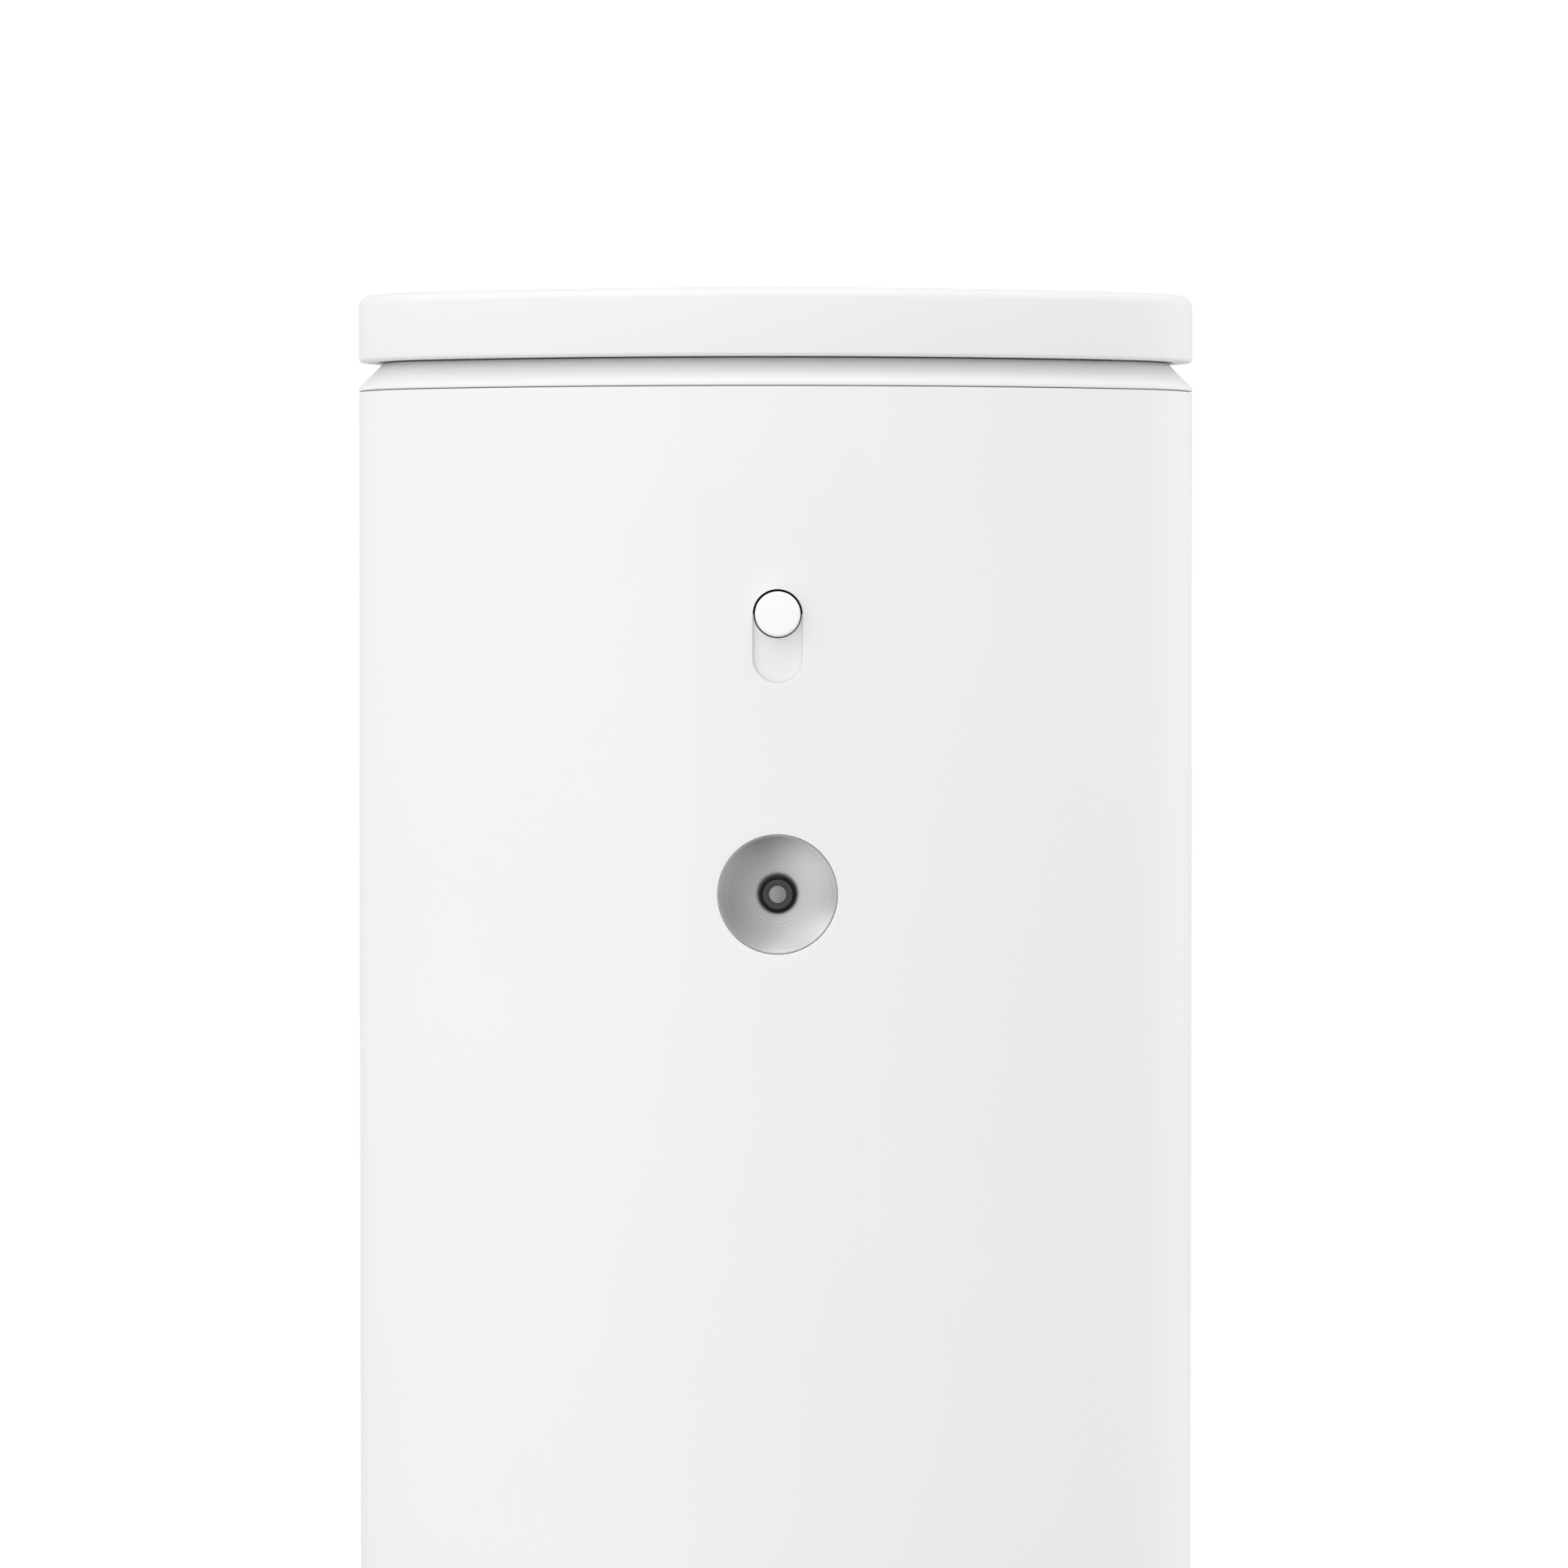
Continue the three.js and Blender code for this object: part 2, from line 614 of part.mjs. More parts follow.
function switchGuide() {
  const plate = block([-19, 19], guidePlate, guideZ);
  const rails = [-1, 1].map((side) => {
    const x = side < 0 ? [-12.3, -9.5] : [9.5, 12.3];
    return block(x, [guideFront, guidePlate[0] + 0.5], guideZ);
  });
  const topWall = block([-12.3, 12.3], [guideFront, guidePlate[0] + 0.5], [guideZ[1] - 1.6, guideZ[1]]);
  const leverSlot = block([-2.4, 2.4], [guidePlate[0] - 1, guidePlate[1] + 1],
    [wiper.middle - slideTravel - 2.4, wiper.middle + 2.4]);
  const holes = [-guideScrewX, guideScrewX].map((x) =>
    rodAcross(1.4, guidePlate[0] - 1, guidePlate[1] + 1, 10, x, knobHeight - 12));
  return cut(join(plate, ...rails, topWall), leverSlot, ...holes);
}

function guideScrew(x) {
  const back = guidePlate[1];
  return turnedAcross([
    [0, bossEnd - 4.4], [1.1, bossEnd - 4.4], [1.1, back + gap], [2.4, back + gap],
    [2.4, back + 1.6], [0, back + 1.6],
  ], 12, x, knobHeight - 12);
}

// A metal can, open towards the lever, that holds the resistive track.
function slideControl() {
  const z = [wiper.middle - slideTravel - 8, wiper.middle + 8];
  const can = block([-4.6, 4.6], [guidePlate[1] + 0.4, boardFront - gap], z);
  const track = block([-2.4, 2.4], [guidePlate[1], guidePlate[1] + 4], [z[0] + 3, z[1] - 3]);
  return cut(can, track);
}

const boardZ = [350, 442];
function controlBoard() {
  const back = boardFront + 1.6;
  const holes = [[-24, 437], [24, 437], [-24, 355], [24, 355]].map(([x, z]) =>
    rodAcross(1.6, boardFront - 1, back + 1, 12, x, z));
  return cut(block([-28, 28], [boardFront, back], boardZ), ...holes);
}

const boardBack = boardFront + 1.6 + gap;
const capacitor = (x, radius) => rodAcross(radius, boardBack, boardBack + 10, 20, x, 372);

add('switch_guide', switchGuide(), blackPlastic);
add('guide_screw_1', guideScrew(guideScrewX), steel);
add('guide_screw_2', guideScrew(-guideScrewX), steel);
add('slide_control', slideControl(), steel);
add('control_board', controlBoard(), circuit);
add('board_chip', block([-5, 5], [boardBack, boardBack + 1.6], [395, 405]), blackPlastic);
add('board_capacitor_1', capacitor(12, 5), greyPlastic);
add('board_capacitor_2', capacitor(-2, 4), greyPlastic);
add('board_plug', block([-20, -10], [boardBack, boardBack + 6], [352.5, 358.5]), innerWhite);

// Power inlet ----------------------------------------------------------------------------

const dishEdge = dishRadius - 0.25;
const bowlRadius = dishEdge - 0.3;
const sheet = 0.8;
const flangeFront = controlFace + 4;
const bowl = (radius) => dishRim + dishDepth * (1 - (radius / bowlRadius) ** 2.2);
const bushing = { outer: 5.65, inner: 4.67, barrel: 4, front: bowl(5.65) - gap - 2.5 };
const barrelEnd = controlFace + 12.4;

function inletDish() {
  const steps = 6;
  const holeRadius = bushing.barrel + 0.3;
  const front = Array.from({ length: steps + 1 }, (_, i) => {
    const radius = bowlRadius - ((bowlRadius - holeRadius) * i) / steps;
    return [radius, bowl(radius)];
  });
  const back = Array.from({ length: 4 }, (_, i) => {
    const radius = holeRadius + ((14.2 - holeRadius) * i) / 3;
    return [radius, bowl(radius) + sheet];
  });
  return turnedAcross([
    ...front, ...back, [14.8, flangeFront + 0.9], [20.5, flangeFront + 0.9],
    [20.5, flangeFront], [dishEdge, flangeFront], [dishEdge, dishRim], [bowlRadius, dishRim],
  ].reverse(), 32, 0, inletHeight);
}

function inletBushing() {
  const seat = bowl(bushing.outer) - gap;
  return turnedAcross([
    [bushing.inner, bushing.front + 0.25], [bushing.inner + 0.25, bushing.front],
    [bushing.outer - 0.55, bushing.front], [bushing.outer - 0.15, bushing.front + 0.2],
    [bushing.outer, bushing.front + 0.6], [bushing.outer, seat], [bushing.barrel, seat],
    [bushing.barrel, barrelEnd], [3.2, barrelEnd], [3.2, bushing.front + 1.7],
    [bushing.inner, bushing.front + 1.7], [bushing.inner, bushing.front + 0.25],
  ], 24, 0, inletHeight);
}

const contactRadius = 2.75;
function inletContact() {
  const front = bushing.front - 0.05;
  return turnedAcross([
    [0, front], [contactRadius - 0.35, front], [contactRadius, front + 0.3],
    [contactRadius, bushing.front + 1.6], [1.2, bushing.front + 1.6],
    [1.2, barrelEnd + 2], [0, barrelEnd + 2],
  ], 24, 0, inletHeight);
}

function inletNut() {
  const hexagon = 12 / Math.sqrt(3);
  const blank = new THREE.CylinderGeometry(hexagon, hexagon, 2.6, 6);
  blank.translate(0, barrelEnd - 3.7, inletHeight);
  return cut(solid(blank), rodAcross(bushing.barrel + 0.2, controlFace, barrelEnd, 24, 0, inletHeight));
}

const dishBack = bowl(bushing.barrel) + sheet;

add('inlet_dish', inletDish(), spunMetal);
add('inlet_bushing', inletBushing(), blackPlastic);
add('inlet_face', turnedAcross([
  [contactRadius + 0.12, bushing.front + 0.15], [bushing.inner - 0.12, bushing.front + 0.15],
  [bushing.inner - 0.12, bushing.front + 1.5], [contactRadius + 0.12, bushing.front + 1.5],
  [contactRadius + 0.12, bushing.front + 0.15],
], 24, 0, inletHeight), greyPlastic);
add('inlet_contact', inletContact(), polishedMetal);
add('inlet_washer', turnedAcross([
  [bushing.barrel + 0.2, dishBack + gap], [7, dishBack + gap], [7, dishBack + gap + 0.7],
  [bushing.barrel + 0.2, dishBack + gap + 0.7], [bushing.barrel + 0.2, dishBack + gap],
], 24, 0, inletHeight), steel);
add('inlet_nut', inletNut(), steel);
[1, -1].forEach((side, i) => {
  const z = inletHeight + side * 2.5;
  const tab = block([-1.5, 1.5], [barrelEnd + gap, barrelEnd + 4.8], [z - 0.3, z + 0.3]);
  add(`inlet_terminal_${i + 1}`, tab, copper);
});

// Internal leads -------------------------------------------------------------------------

add('power_lead', lead([
  [0, -42, inletHeight + 2.5], [0, -39, inletHeight + 3], [-4, -35.5, 343],
  [-15, -34.6, 350], [-15, -34.6, 352.2],
], 1.8), rubber);
add('fan_lead', lead([
  [-44, -49.5, 60], [-42, -51, 90], [-40, -52, 150], [-34, -48, 250], [-30, -38, 330],
  [-22.5, -36.8, 355.5],
], 2), rubber);

export default model;
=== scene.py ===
# %% [markdown]
# # A slim white air purifier
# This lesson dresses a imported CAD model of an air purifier. The CAD model is the frame: it
# fixes every size and every joint. Blender adds the fine surfaces and the finishes, and each
# new piece takes its place from the frame, so that nothing has to be fitted by eye.

# %% Load the frame
import json
import math

import bmesh
import bpy
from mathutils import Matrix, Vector
from mathutils.geometry import delaunay_2d_cdt


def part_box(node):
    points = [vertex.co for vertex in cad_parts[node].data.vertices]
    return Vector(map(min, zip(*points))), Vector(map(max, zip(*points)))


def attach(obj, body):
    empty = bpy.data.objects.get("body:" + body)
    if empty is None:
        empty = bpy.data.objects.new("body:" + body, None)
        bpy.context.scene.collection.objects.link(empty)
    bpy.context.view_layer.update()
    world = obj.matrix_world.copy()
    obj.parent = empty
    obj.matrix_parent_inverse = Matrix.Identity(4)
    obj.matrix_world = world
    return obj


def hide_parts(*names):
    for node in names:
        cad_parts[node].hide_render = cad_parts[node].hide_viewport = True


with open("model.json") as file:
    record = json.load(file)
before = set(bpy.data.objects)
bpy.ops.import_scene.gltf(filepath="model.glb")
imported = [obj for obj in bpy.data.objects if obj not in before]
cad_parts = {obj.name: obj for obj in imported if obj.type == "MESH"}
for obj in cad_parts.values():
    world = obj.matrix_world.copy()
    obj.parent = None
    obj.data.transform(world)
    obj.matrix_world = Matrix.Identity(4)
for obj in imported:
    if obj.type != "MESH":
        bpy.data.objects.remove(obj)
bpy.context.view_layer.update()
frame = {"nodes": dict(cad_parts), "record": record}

MM = 0.001

# %% [markdown]
# ## Main sizes
# The frame is in metres, and moulded parts are drawn in millimetres. The pieces below are made
# in millimetres and turned into metres once, when they become objects. The few sizes that
# everything hangs on are read from the CAD nodes: the oval's width and depth, the seam where
# the sleeve ends, and the plane that its front touches.


# %% Main sizes
def box_mm(node):
    """Lowest and highest corner of a CAD node, in millimetres."""
    low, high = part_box(node)
    return low / MM, high / MM


shell_low, shell_high = box_mm("body_shell")
AXIS_Y = (shell_low.y + shell_high.y) / 2
HALF_WIDTH = (shell_high.x - shell_low.x) / 2
HALF_DEPTH = (shell_high.y - shell_low.y) / 2
SEAM = shell_high.z
FRONT = AXIS_Y - HALF_DEPTH
print("oval", round(2 * HALF_WIDTH, 1), "by", round(2 * HALF_DEPTH, 1), "mm, seam at", round(SEAM, 1))

# %% [markdown]
# ## Camera
# A catalogue view is taken from far away with a long lens, so that the upright sides stay almost
# parallel. The camera stands a little below the seam and looks slightly down, which shows the
# underside of the lid as a hair line and leaves the foot of the tower outside the frame. The
# same view could be had by shifting the lens, but a shift would follow the camera to every
# other side, so the lens stays centred and the camera is aimed instead.

# %% Camera
CAMERA_DISTANCE = 1894
CAMERA_SIDE = -16.4
CAMERA_BELOW_SEAM = 65.6
LOOK_SIDE = 0.01
LOOK_DOWN = -0.0298
LENS = 139.19
SENSOR_WIDTH = 36
SEES_METRES = 60

camera_data = bpy.data.cameras.new("camera")
camera_data.lens = LENS
camera_data.sensor_width = SENSOR_WIDTH
camera_data.clip_end = SEES_METRES
camera = bpy.data.objects.new("camera", camera_data)
camera.location = Vector((CAMERA_SIDE, AXIS_Y - CAMERA_DISTANCE, SEAM - CAMERA_BELOW_SEAM)) * MM
camera.rotation_euler = Vector((LOOK_SIDE, 1, LOOK_DOWN)).to_track_quat("-Z", "Y").to_euler()
bpy.context.scene.collection.objects.link(camera)
bpy.context.scene.camera = camera
print("camera at", [round(v, 3) for v in camera.location])

# %% [markdown]
# ## Sums between sockets
# A finish is a small sum of patterns. Written as node calls, a sum is hard to read, so one small
# class wraps a socket and lets plain Python operators add the Math nodes.


# %% The socket wrapper
class Value:
    """A number that changes over a surface. Sums on it add Math nodes."""

    def __init__(self, finish, socket):
        self.finish = finish
        self.socket = socket

    def _math(self, operation, *terms):
        inputs = dict(enumerate(terms))
        return self.finish.node("ShaderNodeMath", {"operation": operation}, inputs)

    def __add__(self, other):
        return self._math("ADD", self, other)

    def __sub__(self, other):
        return self._math("SUBTRACT", self, other)

    def __rsub__(self, other):
        return self._math("SUBTRACT", other, self)

    def __mul__(self, other):
        return self._math("MULTIPLY", self, other)

    def __pow__(self, other):
        return self._math("POWER", self, other)

    __radd__ = __add__
    __rmul__ = __mul__

    def above(self, floor):
        return self._math("MAXIMUM", self, floor)

    def below(self, ceiling):
        return self._math("MINIMUM", self, ceiling)

    def sine(self):
        return self._math("SINE", self)


print("socket wrapper:", Value.__name__)

# %% [markdown]
# ## A builder for finishes
# Every finish is one Principled shader with the same three things changing over the surface:
# colour, roughness and a bump. The builder adds any node through one method, and has a short
# word for each of the three, so that a finish reads as a recipe. A number that is the same all
# over goes straight onto the shader's own socket.

# %% The finish builder
MIX_DARK, MIX_LIGHT, MIX_COLOUR = 6, 7, 2  # the colour sockets of a Mix node, by place


class Finish:
    """A material with one Principled shader and helpers that add what feeds it."""

    def __init__(self, name, tree=None):
        if tree is None:
            self.material = bpy.data.materials.new(name)
            self.material.use_nodes = True
            tree = self.material.node_tree
            self.shader = tree.nodes["Principled BSDF"]
        self.tree = tree

    def node(self, kind, settings, inputs, output=0):
        """Adds a node: its settings first, then the values or links of its sockets."""
        made = self.tree.nodes.new(kind)
        for key, setting in settings.items():
            setattr(made, key, setting)
        for key, term in inputs.items():
            self.feed(made.inputs[key], term)
        return Value(self, made.outputs[output])

    def feed(self, socket, term):
        if isinstance(term, Value):
            self.tree.links.new(term.socket, socket)
        else:
            socket.default_value = term

    def set(self, **constants):
        for key, constant in constants.items():
            self.shader.inputs[key.replace("_", " ")].default_value = constant

    def place(self):
        return self.node("ShaderNodeTexCoord", {}, {}, "Object")

    def noise(self, scale, detail):
        """Noise from 0 to 1; scale is in features per metre."""
        inputs = {"Vector": self.place(), "Scale": scale, "Detail": detail}
        return self.node("ShaderNodeTexNoise", {}, inputs, "Fac")

    def colour(self, dark, light, factor):
        """A mix of two colours, as red, green and blue."""
        inputs = {"Factor": factor, MIX_DARK: (*dark, 1), MIX_LIGHT: (*light, 1)}
        mixed = self.node("ShaderNodeMix", {"data_type": "RGBA"}, inputs, MIX_COLOUR)
        self.feed(self.shader.inputs["Base Color"], mixed)

    def rough(self, value):
        self.feed(self.shader.inputs["Roughness"], value)

    def bump(self, height, depth_mm):
        """Raises the surface by up to depth_mm where height is 1."""
        inputs = {"Height": height, "Distance": depth_mm * MM}
        self.feed(self.shader.inputs["Normal"], self.node("ShaderNodeBump", {}, inputs, "Normal"))


def grey(level):
    return (level, level, level)


print("finish builder:", Finish.__name__)

# %% [markdown]
# ## White and dark plastics
# The shell of such an appliance is moulded in a satin white: nearly flat in colour, with a very
# fine spark-eroded grain that breaks up the gloss. The grain is far too small to model, so it is
# a bump. The knob is the same plastic from a polished mould, so it is brighter and smoother, and
# the dark plastics, rubber and ferrite are the same recipe with other numbers.

# %% Plastics
CLOUDS_PER_METRE = 14
GRAINS_PER_METRE = 2600
PLASTIC_IOR = 1.49


def moulded_plastic(name, level, roughness, grain_mm, spread=0.012, gloss=0.5):
    finish = Finish(name)
    cloud = finish.noise(CLOUDS_PER_METRE, 3)
    grain = finish.noise(GRAINS_PER_METRE, 2)
    finish.colour(grey(level * (1 - spread)), grey(level * (1 + spread)), cloud)
    finish.rough(roughness - 0.03 + 0.06 * grain)
    finish.bump(grain, grain_mm)
    finish.set(IOR=PLASTIC_IOR, Specular_IOR_Level=gloss)
    return finish.material


finishes = {
    "white_shell": moulded_plastic("white_shell", 0.875, 0.42, 0.004),
    "knob_white": moulded_plastic("knob_white", 0.97, 0.3, 0.001),
    "inner_white": moulded_plastic("inner_white", 0.8, 0.55, 0.006),
    "black_plastic": moulded_plastic("black_plastic", 0.004, 0.4, 0.004, 0.2, 0.2),
    "grey_plastic": moulded_plastic("grey_plastic", 0.05, 0.6, 0.008, 0.08, 0.25),
    "rubber": moulded_plastic("rubber", 0.028, 0.8, 0.02, 0.15),
    "ferrite": moulded_plastic("ferrite", 0.05, 0.7, 0.02, 0.1),
}
print("plastics", *finishes)

# %% [markdown]
# ## Metals
# The dish is spun from aluminium. The tool leaves fine rings about the middle, so the pattern
# depends only on the distance from the dish's axis: a one-dimensional noise of that distance
# gives rings of uneven spacing, which is what a real turned surface shows. Wave textures make
# rings too, but theirs are evenly spaced, like a record's.

# %% Spun metal
ACROSS_AND_UP = (1, 0, 1)


def ring_distance(finish, centre):
    """Distance from an axis that runs front to back through a point, in metres."""
    settings = {"operation": "SUBTRACT"}
    offset = finish.node("ShaderNodeVectorMath", settings, {0: finish.place(), 1: centre})
    terms = {0: offset, 1: ACROSS_AND_UP}
    flat = finish.node("ShaderNodeVectorMath", {"operation": "MULTIPLY"}, terms)
    return finish.node("ShaderNodeVectorMath", {"operation": "LENGTH"}, {0: flat}, "Value")


def spun_metal(name, centre, level, roughness, rings_per_mm, depth_mm):
    finish = Finish(name)
    inputs = {
        "W": ring_distance(finish, centre), "Scale": rings_per_mm / MM,
        "Detail": 3.0, "Roughness": 0.6,
    }
    rings = finish.node("ShaderNodeTexNoise", {"noise_dimensions": "1D"}, inputs, "Fac")
    smudge = finish.noise(90, 2)
    finish.colour(grey(level * 0.9), grey(level * 1.1), rings)
    finish.rough(roughness - 0.05 + 0.06 * rings + 0.05 * smudge)
    finish.bump(rings, depth_mm)
    finish.set(Metallic=1.0)
    return finish.material


dish_low, dish_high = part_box("inlet_dish")
DISH_CENTRE = (dish_low + dish_high) / 2
finishes["spun_aluminium"] = spun_metal("spun_aluminium", DISH_CENTRE, 0.47, 0.26, 1.6, 0.008)
finishes["polished_metal"] = spun_metal("polished_metal", DISH_CENTRE, 0.27, 0.18, 3.0, 0.0006)
print("dish axis at", [round(v, 4) for v in DISH_CENTRE])

# %% [markdown]
# Screws, bearings, shaft, tabs and windings are small and mostly hidden. Drawn wire and plated
# steel have no rings, so a fine noise streaks their colour and a slower one smudges the gloss.


# %% Drawn metal
def drawn_metal(name, colour, roughness):
    finish = Finish(name)
    streaks = finish.noise(900, 3)
    smudge = finish.noise(120, 2)
    dark = tuple(0.88 * part for part in colour)
    finish.colour(dark, colour, streaks)
    finish.rough(roughness - 0.04 + 0.05 * streaks + 0.05 * smudge)
    finish.bump(streaks, 0.002)
    finish.set(Metallic=1.0)
    return finish.material


finishes["steel"] = drawn_metal("steel", (0.52, 0.52, 0.53), 0.34)
finishes["copper"] = drawn_metal("copper", (0.62, 0.32, 0.16), 0.36)
print("metals", *list(finishes)[-4:])

# %% [markdown]
# ## Filter materials
# The filter's own materials only show when the lid is off and the cartridge is drawn up. Paper,
# carbon and foam are told apart by their texture more than by their colour, so one recipe with
# a strong noise serves all three at three scales. Cloth is different: its threads cross at right
# angles, and the product of two sine waves gives just that checker of high and low spots.


# %% Fibres and weaves
def fibrous(name, dark, light, scale, depth_mm):
    finish = Finish(name)
    fibres = finish.noise(scale, 6)
    finish.colour(dark, light, fibres)
    finish.rough(0.85 + 0.1 * fibres)
    finish.bump(fibres, depth_mm)
    return finish.material


def woven(name, dark, light, threads_per_mm, depth_mm):
    """Two sets of threads that cross at right angles, across and up the cloth."""
    finish = Finish(name)
    turns = 2 * math.pi * threads_per_mm / MM
    across, up = [
        (finish.node("ShaderNodeSeparateXYZ", {}, {0: finish.place()}, axis) * turns).sine()
        for axis in ("X", "Z")
    ]
    weave = (across * up) * 0.5 + 0.5
    finish.colour(dark, light, weave)
    finish.rough(0.85 + 0.1 * weave)
    finish.bump(weave, depth_mm)
    return finish.material


finishes["filter_paper"] = fibrous("filter_paper", (0.74, 0.73, 0.69), (0.88, 0.87, 0.84), 1500, 0.04)
finishes["carbon"] = fibrous("carbon", (0.006, 0.006, 0.006), (0.035, 0.035, 0.037), 700, 0.4)
finishes["foam"] = fibrous("foam", (0.07, 0.07, 0.075), (0.14, 0.14, 0.145), 2200, 0.1)
finishes["mesh_grey"] = woven("mesh_grey", (0.03, 0.03, 0.032), (0.22, 0.225, 0.23), 0.9, 0.15)
finishes["webbing"] = woven("webbing", (0.1, 0.11, 0.115), (0.24, 0.26, 0.27), 0.8, 0.12)
print("filter materials", *list(finishes)[-5:])

# %% [markdown]
# ## Circuit board
# A lacquered board shows its copper as slightly lighter, slightly raised patches with crisp
# edges. A smooth noise that is stretched about its middle and cut off at 0 and 1 gives patches
# of that kind without drawing any track.

# %% Circuit board
PATCH_EDGE = 24


def printed_board(name):
    finish = Finish(name)
    patches = ((finish.noise(260, 0) - 0.5) * PATCH_EDGE + 0.5).above(0).below(1)
    finish.colour((0.012, 0.07, 0.035), (0.02, 0.13, 0.06), patches)
    finish.rough(0.3 + 0.12 * patches)
    finish.bump(patches, 0.03)
    return finish.material


finishes["circuit_board"] = printed_board("circuit_board")
print(len(finishes), "finishes")

# %% [markdown]
# ## Every CAD node gets its finish
# The record already says which slot each node belongs to, so one loop dresses them all. The
# boxy inner parts also get a small bevel, because no moulded edge is perfectly sharp. It is a
# modifier, so the CAD mesh itself stays as it was packed.

# %% Dress the CAD nodes
SOFT_EDGE = 0.3
SOFTENED = ("filter_frame", "filter_bay", "bay_shelf", "control_board", "board_plug", "board_chip")
SAME_SPOT = 0.01

slot_of = {part["node"]: part["material_slot"] for part in frame["record"]["subparts"]}
for node_name, node_object in frame["nodes"].items():
    node_object.data.materials.clear()
    node_object.data.materials.append(finishes[slot_of[node_name]])
for node_name in SOFTENED:
    weld = frame["nodes"][node_name].modifiers.new("weld", "WELD")
    weld.merge_threshold = SAME_SPOT * MM
    bevel = frame["nodes"][node_name].modifiers.new("edge", "BEVEL")
    bevel.width = SOFT_EDGE * MM
    bevel.segments = 2
    bevel.limit_method = "ANGLE"
    bevel.angle_limit = math.radians(40)
print("dressed", len(frame["nodes"]), "CAD nodes and softened", len(SOFTENED))

# %% [markdown]
# ## The oval section
# The tower's outline is made of four arcs: two wide ones front and back and two tight ones at
# the ends. Its parallel curves share the same centres, so an edge that is set in by a few
# tenths is exactly the same outline with shorter radii, which scaling an ellipse wouldn't give.
# A place on it is given by the distance walked from the middle of the front, which is negative
# towards -X.

# %% The outline
END_RADIUS = 37
END_CENTRE = HALF_WIDTH - END_RADIUS
FACE_RADIUS = (END_CENTRE**2 + HALF_DEPTH**2 - END_RADIUS**2) / (2 * (HALF_DEPTH - END_RADIUS))
FACE_CENTRE = FACE_RADIUS - HALF_DEPTH
FACE_ANGLE = math.asin(END_CENTRE / (FACE_RADIUS - END_RADIUS))
END_ANGLE = math.pi / 2 - FACE_ANGLE
FACE_LENGTH = FACE_RADIUS * FACE_ANGLE
END_LENGTH = 2 * END_RADIUS * END_ANGLE
HALF_WALK = 2 * FACE_LENGTH + END_LENGTH


def outline(walk, inset=0.0):
    """The point (x, y) after a walk along the outline, set in by inset."""
    side = -1 if walk < 0 else 1
    walk = abs(walk)
    if walk <= FACE_LENGTH:
        angle = walk / FACE_RADIUS
        x = (FACE_RADIUS - inset) * math.sin(angle)
        y = FACE_CENTRE - (FACE_RADIUS - inset) * math.cos(angle)
    elif walk <= FACE_LENGTH + END_LENGTH:
        angle = FACE_ANGLE + (walk - FACE_LENGTH) / END_RADIUS
        x = END_CENTRE + (END_RADIUS - inset) * math.sin(angle)
        y = -(END_RADIUS - inset) * math.cos(angle)
    else:
        angle = (HALF_WALK - walk) / FACE_RADIUS
        x = (FACE_RADIUS - inset) * math.sin(angle)
        y = (FACE_RADIUS - inset) * math.cos(angle) - FACE_CENTRE
    return side * x, AXIS_Y + y


print("arc radii", round(FACE_RADIUS, 1), "and", END_RADIUS, "mm")

# %% [markdown]
# The oval is cut into columns, closer together round the tight ends, and every oval piece uses
# the same columns. Neighbouring pieces then have their flats in the same places, and a seam
# between two of them stays even all the way round.

# %% Columns
FACE_STEPS = 38
END_STEPS = 36


def steps(start, end, count):
    """Evenly spaced numbers from start to end, both included."""
    return [start + (end - start) * i / count for i in range(count + 1)]


half_columns = (
    steps(0, FACE_LENGTH, FACE_STEPS)[1:]
    + steps(FACE_LENGTH, FACE_LENGTH + END_LENGTH, END_STEPS)[1:]
    + steps(FACE_LENGTH + END_LENGTH, HALF_WALK, FACE_STEPS)[1:]
)
COLUMNS = [-walk for walk in reversed(half_columns[:-1])] + [0.0] + half_columns
print("outline", len(COLUMNS), "columns, half way round is", round(HALF_WALK, 1), "mm")

# %% [markdown]
# ## Profiles with rounded corners
# A moulded edge is a corner with a radius. A bevel modifier could round it, but every corner of
# one profile has its own radius, so each profile below is a short list of corners with their
# radii, and this helper turns it into points along straight runs and arcs.


# %% Rounded profiles
def rounded(corners, closed=False, arc_steps=5):
    """Points of a profile whose corners are (a, b) or (a, b, radius)."""
    points = []
    last = len(corners) - 1
    for i, corner in enumerate(corners):
        here = Vector(corner[:2])
        radius = corner[2] if len(corner) > 2 else 0
        if not radius or (not closed and i in (0, last)):
            points.append(here)
            continue
        to_before = (Vector(corners[i - 1][:2]) - here).normalized()
        to_after = (Vector(corners[(i + 1) % len(corners)][:2]) - here).normalized()
        half = to_before.angle(to_after) / 2
        reach = radius / math.tan(half)
        middle = here + (to_before + to_after).normalized() * (radius / math.sin(half))
        first = (here + to_before * reach - middle).normalized()
        final = (here + to_after * reach - middle).normalized()
        for share in steps(0, 1, arc_steps):
            points.append(middle + first.slerp(final, share) * radius)
    return points


print("a square corner of radius 1:", len(rounded([(0, 0), (2, 0, 1), (2, 2)])), "points")

# %% [markdown]
# ## Rings
# Nearly every outer piece is a stack of closed rings: an oval profile gives ovals, a turned
# profile gives circles. Rings joined by quads shade smoothly, which a boolean's long thin faces
# don't, so the pieces are lofted rather than cut.


# %% Rings and lofts
def loft(rings, closed=False, cap=True):
    """Points and faces of a stack of rings. A closed stack returns to its first ring."""
    count = len(rings[0])
    points = [point for ring in rings for point in ring]
    faces = []
    for level in range(len(rings) if closed else len(rings) - 1):
        here, above = level * count, (level + 1) % len(rings) * count
        for i in range(count):
            j = (i + 1) % count
            faces.append((here + i, here + j, above + j, above + i))
    if cap and not closed:
        faces.append(tuple(reversed(range(count))))
        faces.append(tuple(range(len(points) - count, len(points))))
    return points, faces


